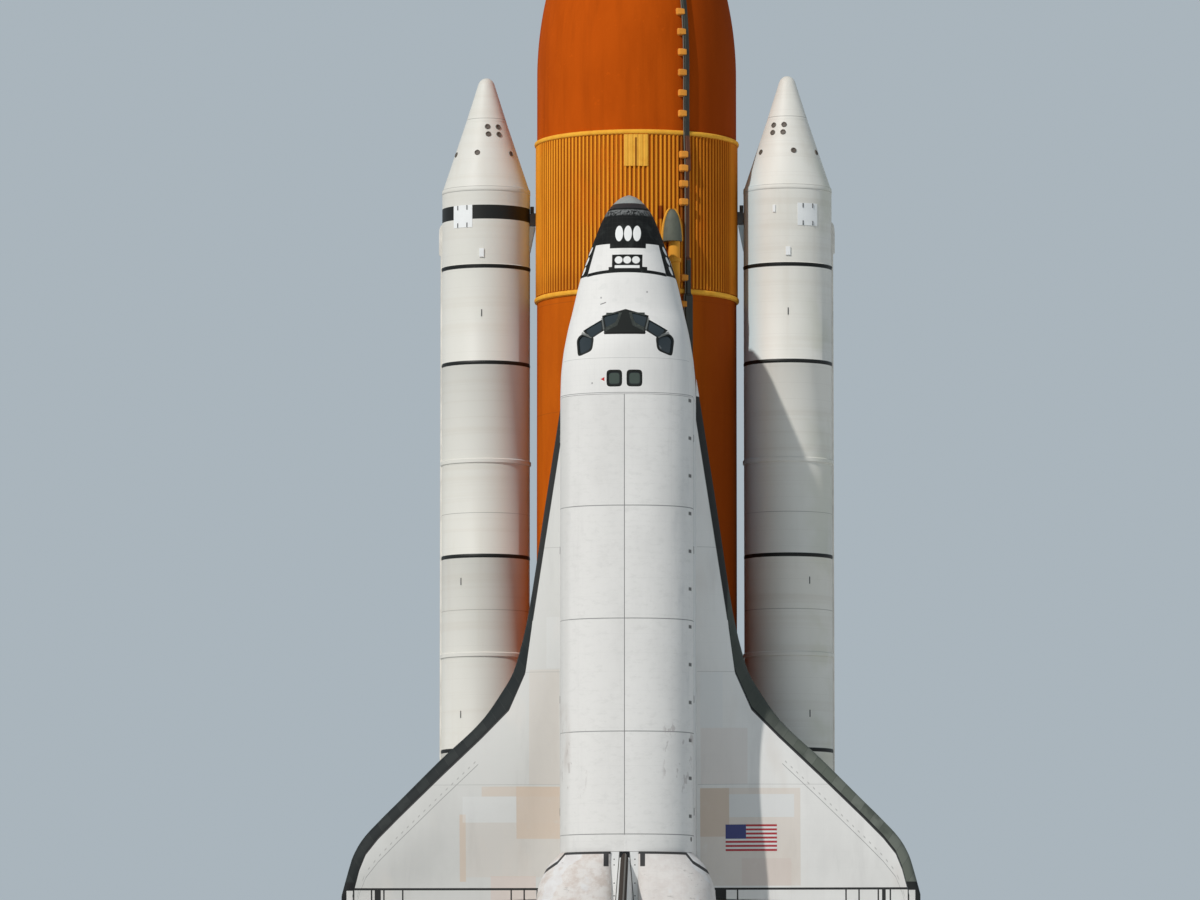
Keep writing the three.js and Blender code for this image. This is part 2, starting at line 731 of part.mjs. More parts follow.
// The hatch narrows inwards, so that its edge swings clear of its frame
function crewHatch() {
  const wall = bodyLoft(sectionsBetween(400, BAY[0] - 2)).subtract(cabinSpace(CABIN_WALL));
  const wide = HATCH.radius - RUNNING;
  const plug = rod([HATCH.x, -104, HATCH.z], [HATCH.x, -94, HATCH.z], wide, wide - 1.8, 24);
  return wall.intersect(plug);
}

// The flight deck's floor, its two seats and the panels before and behind them
function flightDeck() {
  const room = cabinSpace(CABIN_WALL + 2.5);
  const floor = box([446, 566], [-105, 105], FLIGHT_DECK).intersect(cabinSpace(CABIN_WALL + GAP));
  const seats = [-26, 26].map((y) =>
    union(
      box([492, 512], [y - 9, y + 9], [395, 413]),
      box([508, 514], [y - 9, y + 9], [395, 442]),
      box([509, 513], [y - 5, y + 5], [441, 450]),
    ),
  );
  const forward = box([466, 471], [-62, 62], [395, 432]);
  const middle = box([470, 500], [-6, 6], [395, 414]);
  const aft = box([558, 564], [-70, 70], [395, 440]);
  return union(...seats, forward, middle, aft).intersect(room).add(floor);
}

function doorOutline(inset) {
  const steps = 12;
  return Array.from({ length: steps + 1 }, (_, i) =>
    crownPoint(BODY_HALF_WIDTH - inset, SILL, ROOF - inset, i / steps),
  );
}

// The open trough of the payload bay
function midFuselage() {
  const BOW_STEPS = 12;
  const bow = Array.from({ length: BOW_STEPS + 1 }, (_, i) => {
    const turn = Math.PI * (i / BOW_STEPS);
    return [BAY_RADIUS * Math.cos(turn), BAY_CENTRE - BAY_RADIUS * Math.sin(turn)];
  });
  const corner = 4;
  const outline = [
    [BODY_HALF_WIDTH, SILL],
    [BAY_RADIUS, SILL],
    ...bow,
    [-BAY_RADIUS, SILL],
    [-BODY_HALF_WIDTH, SILL],
    [-BODY_HALF_WIDTH, BELLY + corner],
    [-BODY_HALF_WIDTH + corner, BELLY],
    [BODY_HALF_WIDTH - corner, BELLY],
    [BODY_HALF_WIDTH, BELLY + corner],
  ];
  return union(prism(outline, "x", [BAY[0], BAY[1] - GAP]), ...[-1, 1].flatMap(doorLugs));
}

// The lugs that carry a door's hinge pins, between the side's top edge and the hinge line
function doorLugs(side) {
  const [y, z] = DOOR_HINGE;
  const PIN_RADIUS = 0.535;
  const outline = [
    [BODY_HALF_WIDTH - 1, SILL - 1],
    [BODY_HALF_WIDTH, SILL - 1],
    [y - 0.2, z - 0.5],
    [y, z],
    [y - 0.45, z - 0.15],
    [BODY_HALF_WIDTH - 1, SILL - 0.05],
  ];
  return [640, 820, 1060, 1240].map((x) => {
    const ends = [x - 6, x + 6];
    const pin = rod([ends[0], y, z], [ends[1], y, z], PIN_RADIUS, PIN_RADIUS, 12);
    const lug = prism(outline, "x", ends).add(pin);
    return side > 0 ? lug : mirrored(lug);
  });
}

function payloadDoor(side) {
  const outer = doorOutline(0);
  const inner = doorOutline(DOOR_THICKNESS).toReversed();
  const door = prism([...outer, ...inner], "x", [BAY[0] + RUNNING, BAY[1] - RUNNING])
    .trimByPlane([0, 0, 1], SILL + RUNNING)
    .trimByPlane([0, 1, 0], RUNNING / 2);
  return side > 0 ? door : mirrored(door);
}

// Engines: name, gimbal point, tilt up and outwards in degrees
const ENGINES = [
  ["upper", [1445, 0, 443], 16, 0],
  ["left", [1468.17, -53, 342.64], 10, -3.5],
  ["right", [1468.17, 53, 342.64], 10, 3.5],
];
const SHIELD_RADIUS = 50;
const COLLAR_RADIUS = 31;
const ENGINE_WELL_RADIUS = 46;
const GIMBAL_RADIUS = 7;
const GIMBAL_SEAT_RADIUS = 7.3;

function engineTurn(up, out) {
  return new THREE.Euler(0, -radians(up), radians(out), "ZYX");
}

// A solid built along x from a gimbal point, moved to one engine's place
function atEngine(manifold, [, gimbal, up, out]) {
  const matrix = new THREE.Matrix4().makeRotationFromEuler(engineTurn(up, out)).setPosition(...gimbal);
  return manifold.transform(matrix.elements);
}

// The pad in a gimbal's seat that meets the ball on the engine's axis
const thrustPad = (side) =>
  rod([side * (GIMBAL_SEAT_RADIUS + 1), 0, 0], [side * (GIMBAL_RADIUS + GAP), 0, 0], 1.2, 1.2, 8);

// The wells that the engines turn in, each with a thrust cone for its gimbal and a lip at its mouth
function engineWell() {
  const well = lathe(
    [
      [0, -18],
      [30, -18],
      [ENGINE_WELL_RADIUS, 8],
      [ENGINE_WELL_RADIUS, 36],
      [COLLAR_RADIUS, 42.5],
      [COLLAR_RADIUS, 70],
      [0, 70],
    ],
    16,
  );
  const cone = lathe([[0, -19], [16, -19], [9, -3], [0, -3]], 16);
  return well.subtract(cone.subtract(ball([0, 0, 0], GIMBAL_SEAT_RADIUS, 16)).add(thrustPad(-1)));
}

const aftBody = (inset) =>
  bodyLoft(AFT_SECTIONS, inset).trimByPlane(
    [-Math.cos(BASE_TILT), 0, -Math.sin(BASE_TILT)],
    inset - BASE_OFFSET,
  );

function aftFuselage() {
  let body = aftBody(0);
  for (const engine of ENGINES) body = body.subtract(atEngine(engineWell(), engine));
  const [x, z] = BODY_FLAP_HINGE;
  return body.add(box([x - BODY_FLAP_NOSE - 4, x - BODY_FLAP_NOSE - GAP], [-100, 100], [z - 0.4, z + 0.4]));
}

function mainEngine() {
  const zone = (radius, degrees) => [
    radius * Math.sin(radians(degrees)),
    radius * Math.cos(radians(degrees)),
  ];
  const outline = [
    [0, 3],
    [9, 3],
    [16, 14],
    [16, SHIELD_RADIUS - 6],
    zone(SHIELD_RADIUS - 1.6, 47),
    zone(SHIELD_RADIUS, 47),
    zone(SHIELD_RADIUS, 34),
    zone(SHIELD_RADIUS, 20),
    [13.5, 60],
    [25, 84],
    [34, 108],
    [42, 140],
    [47.2, 168],
    [45.4, 168],
    [34, 118],
    [0, 66],
  ];
  return lathe(outline, 16).subtract(ball([0, 0, 0], GIMBAL_SEAT_RADIUS, 16)).add(thrustPad(1));
}

// The space that an engine's bell can reach outside the body, a rounded box at each distance
function engineSweep() {
  const [PITCH, YAW, SIDES] = [Math.sin(radians(10.6)), Math.sin(radians(8.6)), 16];
  const reach = [
    [30, 39],
    [60, 29.5],
    [90, 35],
    [126, 46],
    [175, 56.5],
  ];
  return loft(
    reach.map(([x, radius]) =>
      Array.from({ length: SIDES }, (_, i) => {
        const turn = ((i + 0.5) / SIDES) * 2 * Math.PI;
        const [y, z] = [Math.cos(turn), Math.sin(turn)];
        return [x, x * YAW * Math.sign(y) + radius * y, x * PITCH * Math.sign(z) + radius * z];
      }),
    ),
  );
}

// Orbiter: wings

// Wing outline and thickness: offset, leading edge station, thickness
const WING_SECTIONS = [
  [BODY_HALF_WIDTH + GAP, 529.5, 56],
  [120, 613, 52],
  [140, 742, 48],
  [167.4, 919, 44],
  [181, 977, 42],
  [191, 1008, 41],
  [208, 1038, 39],
  [241, 1085, 35],
  [308, 1149, 29],
  [375, 1216, 23],
  [408, 1249, 20],
  [435, 1279, 17],
  [450, 1306, 15],
  [460, 1339, 12],
  [467.8, 1368, 9],
];
const HINGE_HALF_THICKNESS = [
  [107, 12.2],
  [312, 7.5],
  [468, 4],
];
const lowerSurface = (y) => BELLY + 0.5 + DIHEDRAL * (y - BODY_HALF_WIDTH);
const hingeLevel = (y) => lowerSurface(y) + 1.5 + along(HINGE_HALF_THICKNESS, y);

function wingRing([y, front, thickness]) {
  const half = along(HINGE_HALF_THICKNESS, y);
  const back = ELEVON_HINGE - half - RUNNING;
  const low = lowerSurface(y);
  const nose = low + thickness * 0.3;
  const [CREST, KEEL] = [0.45, 0.2];
  const bulge = (t) => Math.sqrt(1 - (1 - Math.min(1, t)) ** 2);
  const upper = (s) =>
    s < CREST
      ? lerp(nose, low + thickness, bulge(s / CREST))
      : lerp(low + thickness, hingeLevel(y) + half, THREE.MathUtils.smoothstep(s, CREST, 1));
  const lower = (s) =>
    s < KEEL ? lerp(nose, low, bulge(s / KEEL)) : lerp(low, hingeLevel(y) - half, (s - KEEL) / (1 - KEEL));
  const shares = [0, 0.006, 0.025, 0.07, 0.15, 0.27, 0.45, 0.63, 0.82, 1];
  const at = (s, level) => [lerp(front, back, s), y, level];
  const top = shares.map((s) => at(s, upper(s)));
  const bottom = shares.slice(1).toReversed().map((s) => at(s, lower(s)));
  return [...top, ...bottom];
}

// The seam behind the carbon leading edge: offset and station
const CARBON_SEAM = [
  [157.6, 920],
  [169.6, 1007.5],
  [196.2, 1067.7],
  [241.2, 1113],
  [308.2, 1176.6],
  [375.3, 1242],
  [408.3, 1275.5],
  [428.3, 1300.6],
  [438.5, 1325.7],
  [450, 1369.4],
  [451, 1400],
];

// The seal that runs along the wing's back edge and meets an elevon's round nose at its hinge line
function elevonSeal([inner, outer]) {
  const ring = (y) => {
    const [half, level] = [along(HINGE_HALF_THICKNESS, y), hingeLevel(y)];
    const [front, back] = [ELEVON_HINGE - half - RUNNING - 1, ELEVON_HINGE - half - GAP];
    const corners = [[front, -0.4], [back, -0.4], [back, 0.4], [front, 0.4]];
    return corners.map(([x, rise]) => [x, y, level + rise]);
  };
  return loft([ring(inner), ring(outer)]);
}

function wingPieces(side) {
  const whole = loft(WING_SECTIONS.map(wingRing));
  const seals = [[120, 305], [318, 445]].map(elevonSeal);
  const region = (shift) => {
    const seam = CARBON_SEAM.map(([y, x], i) => [i ? x + shift : x - shift, y - shift]);
    return prism([...seam, [1400, 500], [seam[0][0], 500]], "z", [200, 400]);
  };
  const pieces = {
    wing: union(whole.subtract(region(GAP)).subtract(aftBody(-GAP * 2)), ...seals),
    edge: whole.intersect(region(0)),
  };
  if (side < 0) for (const key in pieces) pieces[key] = mirrored(pieces[key]);
  return pieces;
}

const ELEVON_SPANS = { inboard: [116, 309], outboard: [314, 466.5] };
const trailingEdge = (y) => 1512 - 0.1806 * (y - 115);

function elevon([inner, outer], side) {
  const ring = (y) => {
    const half = along(HINGE_HALF_THICKNESS, y);
    const level = hingeLevel(y);
    const nose = Array.from({ length: 7 }, (_, i) => {
      const turn = Math.PI / 2 + Math.PI * (i / 6);
      return [ELEVON_HINGE + half * Math.cos(turn), y, level + half * Math.sin(turn)];
    });
    return [...nose, [trailingEdge(y), y, level - 0.8], [trailingEdge(y), y, level + 0.8]];
  };
  const flap = loft([ring(inner), ring(outer)]);
  return side > 0 ? flap : mirrored(flap);
}

// Orbiter: tail

// Fin sections: level, front, back, half thickness
const FIN_SECTIONS = [
  [ROOF + GAP, 1309, 1496, 13.5],
  [520, 1326, 1500, 13],
  [600, 1399, 1500, 11.5],
  [700, 1491, 1567, 9],
  [790, 1574, 1628, 6.6],
  [808, 1592, 1640, 6],
  [FIN_TIP, 1604, 1645, 5],
];
const RUDDER_FOOT = [1512, 0, 600];
const RUDDER_HEAD = [1651, 0, 812];

function finRing([z, front, back, half]) {
  const chord = back - front;
  const shares = [
    [0.02, 0.28],
    [0.1, 0.6],
    [0.4, 0.92],
    [0.7, 1],
    [1, 0.92],
  ];
  const side = shares.map(([s, t]) => [front + s * chord, t * half, z]);
  const back2 = side.toReversed().map(([x, y, level]) => [x, -y, level]);
  return [[front, 0, z], ...side, ...back2];
}

function fin() {
  const CHUTE = { x: [1440, 1528], z: 532, radius: 18 };
  const chute = lathe(
    [
      [0, CHUTE.x[0]],
      [8, CHUTE.x[0] + 6],
      [CHUTE.radius, CHUTE.x[0] + 34],
      [CHUTE.radius, CHUTE.x[1]],
      [0, CHUTE.x[1]],
    ],
    16,
  )
    .translate([0, 0, CHUTE.z])
    .trimByPlane([0, 0, 1], ROOF + GAP);
  const spar = loft(
    [16, HINGE_LENGTH - 10].map((run) => {
      const [front, back] = [rudderHalf(run) + 4, rudderHalf(run) + GAP];
      return [
        onRudder(run, -front, -0.4),
        onRudder(run, -back, -0.4),
        onRudder(run, -back, 0.4),
        onRudder(run, -front, 0.4),
      ];
    }),
  );
  return union(loft(FIN_SECTIONS.map(finRing)), chute, spar).subtract(atEngine(engineSweep(), ENGINES[0]));
}

// The rudder's own frame runs from its foot up the hinge, with the chord behind it
const hingeRun = new THREE.Vector3(...RUDDER_HEAD).sub(new THREE.Vector3(...RUDDER_FOOT));
const HINGE_LENGTH = hingeRun.length();
const hingeAxis = hingeRun.clone().normalize();
const chordAxis = new THREE.Vector3(hingeAxis.z, 0, -hingeAxis.x);

function onRudder(run, chord, y) {
  const point = new THREE.Vector3(...RUDDER_FOOT)
    .addScaledVector(hingeAxis, run)
    .addScaledVector(chordAxis, chord);
  return [point.x, y, point.z];
}

const rudderHalf = (run) => lerp(9.2, 5.2, run / HINGE_LENGTH);

function rudderShaft() {
  const SIDES = 16;
  const ring = (run) =>
    Array.from({ length: SIDES }, (_, i) => {
      const turn = (i / SIDES) * 2 * Math.PI;
      return onRudder(run, rudderHalf(run) * Math.cos(turn), rudderHalf(run) * Math.sin(turn));
    });
  return loft([ring(12), ring(HINGE_LENGTH - 6)]);
}

function rudderPanel(side) {
  const ring = (run, chord) => {
    const half = rudderHalf(run);
    const seats = [
      [5, half + RUNNING],
      [25, half + 0.03],
      [45, half + RUNNING],
      [62, half + RUNNING],
    ];
    const arc = seats.map(([degrees, seat]) => [
      seat * Math.cos(radians(degrees)),
      Math.max(RUNNING / 2, seat * Math.sin(radians(degrees))),
    ]);
    const skin = [
      [chord * 0.4, half * 0.95],
      [chord, half * 0.5],
      [chord, RUNNING / 2],
    ];
    return [...arc, ...skin].map(([u, y]) => onRudder(run, u, y));
  };
  const panel = loft([ring(-30, 84), ring(HINGE_LENGTH + 40, 38)])
    .trimByPlane([0, 0, 1], RUDDER_FOOT[2] + 6)
    .trimByPlane([0, 0, -1], -RUDDER_HEAD[2]);
  return side > 0 ? panel : mirrored(panel);
}

// Pod sections: station, inner edge, outer edge, top, where the crest lies, level of the widest part
const POD_SECTIONS = [
  [BAY[1] + 1, 22, 108, 503, 24, 414],
  [1330, 22, 127, 509, 45, 425],
  [1370, 21, 142, 520, 65, 440],
  [1430, 21, 146, 528, 78, 450],
  [1500, 21, 147, 530, 82, 452],
  [1535, 27, 145, 526, 84, 452],
  [1560, 40, 134, 513, 84, 452],
];
const POD_LEVELS = { floor: 398, deck: 497 };
const POD_NOZZLE = { from: [1530, 88, 480], to: [1596, 95, 499], throat: 8, exit: 21.7 };

// Upright inside, a broad crest, and a round outer side
function podRing([x, inner, outer, top, crest, waist]) {
  const { floor, deck } = POD_LEVELS;
  const arc = (edge, level, degrees) => {
    const turn = radians(degrees);
    return [x, lerp(crest, edge, Math.cos(turn) ** 0.87), lerp(level, top, Math.sin(turn) ** 0.87)];
  };
  const outside = [0, 15, 30, 45, 60, 75].map((degrees) => arc(outer, waist, degrees));
  const inside = [90, 65, 40, 20, 0].map((degrees) => arc(inner, deck, degrees));
  return [...outside, ...inside, [x, inner, floor], [x, outer - 30, floor], [x, outer - 8, floor + 10]];
}

function pod(side) {
  const wide = POD_NOZZLE.throat + GAP;
  const socket = lathe([[0, 0.5 - GAP], [wide, 0.5 - GAP], [wide, 70], [0, 70]], 16);
  const shell = loft(POD_SECTIONS.map(podRing))
    .subtract(aftBody(-GAP * 3))
    .subtract(atEngine(engineSweep(), ENGINES[0]))
    .subtract(atEngine(engineSweep(), ENGINES[2]))
    .subtract(atPodNozzle(socket));
  return side > 0 ? shell : mirrored(shell);
}

// A solid built along x, moved to the starboard pod's nozzle
function atPodNozzle(manifold) {
  const { from, to } = POD_NOZZLE;
  const turn = new THREE.Quaternion().setFromUnitVectors(
    new THREE.Vector3(1, 0, 0),
    new THREE.Vector3(...to).sub(new THREE.Vector3(...from)).normalize(),
  );
  const matrix = new THREE.Matrix4().makeRotationFromQuaternion(turn).setPosition(...from);
  return manifold.transform(matrix.elements);
}

function podNozzle(side) {
  const { from, to, throat, exit } = POD_NOZZLE;
  const length = new THREE.Vector3(...from).distanceTo(new THREE.Vector3(...to));
  const outline = [
    [0, 0.5],
    [throat, 0.5],
    [throat, 38],
    [14, 46],
    [19, 57],
    [exit, length],
    [exit - 1.2, length],
    [17.5, 57],
    [7, 42],
    [0, 40],
  ];
  const nozzle = atPodNozzle(lathe(outline, 16));
  return side > 0 ? nozzle : mirrored(nozzle);
}

function bodyFlap() {
  const [x, z] = BODY_FLAP_HINGE;
  const nose = Array.from({ length: 7 }, (_, i) => {
    const turn = Math.PI / 2 + Math.PI * (i / 6);
    return [x + BODY_FLAP_NOSE * Math.cos(turn), z + BODY_FLAP_NOSE * Math.sin(turn)];
  });
  return prism([...nose, [x + 81, z - 4.5], [x + 81, z - 2.5]], "y", [-121, 121]);
}

// Assembly

add(tank, "oxygen_tank", oxygenTank(), "foam");
add(tank, "intertank", intertank(), "ribbedFoam");
add(tank, "hydrogen_tank", hydrogenTank(), "foam");
add(tank, "oxygen_feedline", oxygenFeedline(), "pipe");
add(tank, "cable_tray", cableTray(), "tray");
add(tank, "forward_bipod", forwardBipod(), "steel");
add(tank, "aft_attach_frame", aftAttachFrame(), "steel");

for (const [hand, side] of [["left", -1], ["right", 1]]) {
  const booster = boosters[hand];
  add(tank, `${hand}_aft_struts`, aftStruts(side), "steel");
  add(booster, `${hand}_booster_nose`, boosterNose(), "boosterWhite");
  add(booster, `${hand}_forward_skirt`, forwardSkirt(side), "boosterWhite");
  for (const [name, start, end, rings] of BOOSTER_CASES) {
    const section = fullCase(start, end, rings);
    const cleared = rings.length ? section.subtract(tunnelWay(side)) : section;
    add(booster, `${hand}_${name}`, cleared, "boosterWhite");
  }
  add(booster, `${hand}_cable_tunnel`, tunnel(side), "boosterWhite");
  add(booster, `${hand}_aft_skirt`, aftSkirt(), "skirt");
  add(booster, `${hand}_booster_nozzle`, boosterNozzle(), "nozzle");

  const wing = wingPieces(side);
  add(orbiter, `${hand}_payload_door`, payloadDoor(side), "blanket");
  add(orbiter, `${hand}_wing`, wing.wing, "blanket");
  add(orbiter, `${hand}_leading_edge`, wing.edge, "carbon");
  for (const [span, reach] of Object.entries(ELEVON_SPANS))
    add(orbiter, `${hand}_${span}_elevon`, elevon(reach, side), "blanket");
  add(orbiter, `${hand}_rudder_panel`, rudderPanel(side), "blanket");
  add(orbiter, `${hand}_pod`, pod(side), "blanket");
  add(orbiter, `${hand}_pod_nozzle`, podNozzle(side), "nozzle");
}

add(orbiter, "nose_cap", bodyLoft(sectionsBetween(236, CAP_END - GAP)), "carbon");
add(orbiter, "forward_fuselage", forwardFuselage(), "blanket");
add(orbiter, "windshield", panes(WINDSHIELD_PANES, [[432, 79], [514, 80], [514, -80], [432, -79]]), "glass");
add(orbiter, "roof_windows", panes([ROOF_PANE], [[538, 30], [568, 30], [568, -30], [538, -30]]), "glass");
add(orbiter, "flight_deck", flightDeck(), "cabin");
add(orbiter, "crew_hatch", crewHatch(), "blanket");
add(orbiter, "mid_fuselage", midFuselage(), "blanket");
add(orbiter, "aft_fuselage", aftFuselage(), "blanket");
add(orbiter, "fin", fin(), "blanket");
add(orbiter, "rudder_shaft", rudderShaft(), "tile");
add(orbiter, "body_flap", bodyFlap(), "tile");
for (const engine of ENGINES) {
  const [name, gimbal, up, out] = engine;
  const mount = groupAt(...gimbal, orbiter);
  mount.setRotationFromEuler(engineTurn(up, out));
  add(mount, `${name}_gimbal`, ball([0, 0, 0], GIMBAL_RADIUS), "steel");
  add(mount, `${name}_engine`, mainEngine(), "nozzle");
}

export default vehicle;
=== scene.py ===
"""The looks of a space shuttle on its hold-down posts, a 1:2 model: orbiter, tank and two boosters.

Stations are inches of the full-size vehicle, as in the part's source, and INCH turns them into metres of
the model. x runs aft, y to starboard, and z from the tank towards the orbiter's back. A table of a round
shape has rows of (radius, station), and an outline has rows of (station, offset).
"""
import math

import bmesh
import bpy
import numpy as np
from mathutils import Matrix, Vector


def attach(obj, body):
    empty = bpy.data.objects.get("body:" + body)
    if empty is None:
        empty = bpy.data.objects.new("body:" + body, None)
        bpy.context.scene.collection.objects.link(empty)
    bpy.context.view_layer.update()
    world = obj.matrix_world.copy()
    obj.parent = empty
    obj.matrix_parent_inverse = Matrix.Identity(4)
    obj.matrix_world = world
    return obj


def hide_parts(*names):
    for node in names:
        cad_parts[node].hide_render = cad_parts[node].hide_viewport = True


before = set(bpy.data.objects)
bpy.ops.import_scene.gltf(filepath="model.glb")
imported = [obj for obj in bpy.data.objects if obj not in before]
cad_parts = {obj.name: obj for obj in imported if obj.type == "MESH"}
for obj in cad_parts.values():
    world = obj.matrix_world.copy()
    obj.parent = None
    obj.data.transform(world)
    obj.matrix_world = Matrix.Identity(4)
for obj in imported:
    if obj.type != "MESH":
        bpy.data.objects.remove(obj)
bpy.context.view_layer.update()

INCH = 0.0127
# The tank's station at the floor, and the level of the frame's middle
FLOOR_STATION = 2545.64
MIDDLE = 293.5
# What the orbiter's and the boosters' own numbers are off from the tank's
ORBITER_STATION = 741
ORBITER_HEIGHT = -63.5
BOOSTER_STATION = 543
BOOSTER_OFFSET = 250.5
STACK = "stack"
HANDS = {"left": -1, "right": 1}


# Places

def on_tank(x, y, z):
    """A point in the tank's stations, in metres of the row's frame."""
    return (y * INCH, (MIDDLE - z) * INCH, (FLOOR_STATION - x) * INCH)


def on_orbiter(x, y, z):
    return on_tank(x + ORBITER_STATION, y, z + ORBITER_HEIGHT)


def on_booster(side):
    return lambda x, y, z: on_tank(x + BOOSTER_STATION, y + side * BOOSTER_OFFSET, z)


# The slot and the place that most of the orbiter's outer pieces share
TILES = {"slot": "white_tiles", "place": on_orbiter}
CARBON = {"slot": "carbon_edge", "place": on_orbiter}


def circle(count):
    """Angles evenly round a circle."""
    return np.linspace(0, 2 * math.pi, count, False)


def about(angle, radius, x):
    """A point round the x axis, at an angle from z towards starboard."""
    return (x, radius * math.sin(angle), radius * math.cos(angle))


def ring_at(x, y, z, radius, sides):
    """A circle across the x axis, about a point."""
    return [(x, y + radius * math.cos(s), z + radius * math.sin(s)) for s in circle(sides)]


def along(table, x):
    """The value at x along [(x, value)] rows."""
    return float(np.interp(x, [row[0] for row in table], [row[1] for row in table]))


def smooth_along(table, x):
    """As along, on a smooth curve through the rows that never overshoots them."""
    xs = [row[0] for row in table]
    ys = [row[1] for row in table]
    if x <= xs[0]:
        return float(ys[0])
    if x >= xs[-1]:
        return float(ys[-1])
    i = int(np.searchsorted(xs, x, side="right")) - 1
    slopes = [(b - a) / (d - c) for a, b, c, d in zip(ys, ys[1:], xs, xs[1:])]

    def tangent(k):
        if k == 0:
            return slopes[0]
        if k == len(xs) - 1:
            return slopes[-1]
        a, b = slopes[k - 1], slopes[k]
        return 0.0 if a * b <= 0 else 2 * a * b / (a + b)

    step = xs[i + 1] - xs[i]
    t = (x - xs[i]) / step
    return float(
        ys[i] * (2 * t**3 - 3 * t**2 + 1)
        + tangent(i) * step * (t**3 - 2 * t**2 + t)
        + ys[i + 1] * (3 * t**2 - 2 * t**3)
        + tangent(i + 1) * step * (t**3 - t**2)
    )


# Meshes

def placed(name, data):
    """A new object that shows some data."""
    item = bpy.data.objects.new(name, data)
    bpy.context.scene.collection.objects.link(item)
    return item


def smooth_faces(work, angle):
    """Smooth shading, but for edges sharper than an angle in degrees."""
    limit = math.radians(angle)
    for face in work.faces:
        face.smooth = True
    for edge in work.edges:
        edge.smooth = not (len(edge.link_faces) == 2 and edge.calc_face_angle(0) > limit)


def finish_mesh(name, points, faces, material, body, sharp=35, place=on_tank):
    """An object from points in inches, smooth but for its sharp edges, riding on a body."""
    mesh = bpy.data.meshes.new(name)
    mesh.from_pydata([place(*p) for p in points], [], faces)
    mesh.validate()
    work = bmesh.new()
    work.from_mesh(mesh)
    bmesh.ops.remove_doubles(work, verts=work.verts, dist=1e-5)
    bmesh.ops.recalc_face_normals(work, faces=work.faces)
    smooth_faces(work, sharp)
    work.to_mesh(mesh)
    work.free()
    piece = placed(name, mesh)
    mesh.materials.append(material)
    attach(piece, body)
    return piece


class Build:
    """Points and faces gathered from several shapes into one mesh."""

    def __init__(self):
        self.points = []
        self.faces = []

    def add(self, points, faces):
        base = len(self.points)
        self.points += [tuple(p) for p in points]
        self.faces += [tuple(base + i for i in face) for face in faces]
        return self

    def grid(self, rows, close=True, caps=True):
        """A skin over rows of points. close joins each row's end to its start."""
        count = len(rows[0])
        points = [p for row in rows for p in row]
        faces = []
        for i in range(len(rows) - 1):
            for j in range(count if close else count - 1):
                a, b = i * count + j, i * count + (j + 1) % count
                faces.append((a, b, b + count, a + count))
        if caps and close:
            faces.append(tuple(range(count))[::-1])
            faces.append(tuple(range((len(rows) - 1) * count, len(rows) * count)))
        return self.add(points, faces)

    def lathe(self, profile, sides=96, y=0.0, z=0.0, close=False):
        """A surface of revolution about x through (y, z), from [radius, station] pairs."""
        rows = []
        for radius, x in profile:
            turns = [2 * math.pi * j / sides for j in range(sides)]
            rows.append([(x, y + radius * math.sin(t), z + radius * math.cos(t)) for t in turns])
        if close:
            rows.append(rows[0])
        return self.grid(rows, caps=False)

    def box(self, x, y, z):
        corners = [(a, b, c) for a in x for b in y for c in z]
        faces = [(0, 1, 3, 2), (4, 6, 7, 5), (0, 4, 5, 1), (2, 3, 7, 6), (0, 2, 6, 4), (1, 5, 7, 3)]
        return self.add(corners, faces)

    def rod(self, start, end, radius, end_radius=None, sides=16):
        start, end = Vector(start), Vector(end)
        turn = (end - start).to_track_quat("Z", "Y")
        rows = []
        for at, r in ((start, radius), (end, end_radius or radius)):
            ring = [Vector((r * math.cos(t), r * math.sin(t), 0)) for t in circle(sides)]
            rows.append([tuple(at + turn @ p) for p in ring])
        return self.grid(rows)

    def piece(self, name, material, body=STACK, slot=None, sharp=35, place=on_tank):
        return finish_mesh(name, self.points, self.faces, material, body, sharp, place)


def cut(piece, cutters, operation="DIFFERENCE"):
    """Cuts a piece with closed meshes, then removes them."""
    for tool in cutters:
        modifier = piece.modifiers.new("cut", "BOOLEAN")
        modifier.operation = operation
        modifier.solver = "EXACT"
        modifier.object = tool
    bpy.context.view_layer.update()
    result = bpy.data.meshes.new_from_object(piece.evaluated_get(bpy.context.evaluated_depsgraph_get()))
    piece.modifiers.clear()
    old = piece.data
    piece.data = result
    bpy.data.meshes.remove(old)
    for tool in cutters:
        bpy.data.objects.remove(tool)


def cutter(build, place=on_orbiter):
    """A closed mesh for cut, which rides on nothing because cut removes it."""
    mesh = bpy.data.meshes.new("cutter")
    mesh.from_pydata([place(*p) for p in build.points], [], build.faces)
    work = bmesh.new()
    work.from_mesh(mesh)
    bmesh.ops.recalc_face_normals(work, faces=work.faces)
    work.to_mesh(mesh)
    work.free()
    return placed("cutter", mesh)


def soften(piece, angle=30):
    """Smooth shading but for the sharp edges that a cut leaves."""
    work = bmesh.new()
    work.from_mesh(piece.data)
    smooth_faces(work, angle)
    work.to_mesh(piece.data)
    work.free()


# Materials

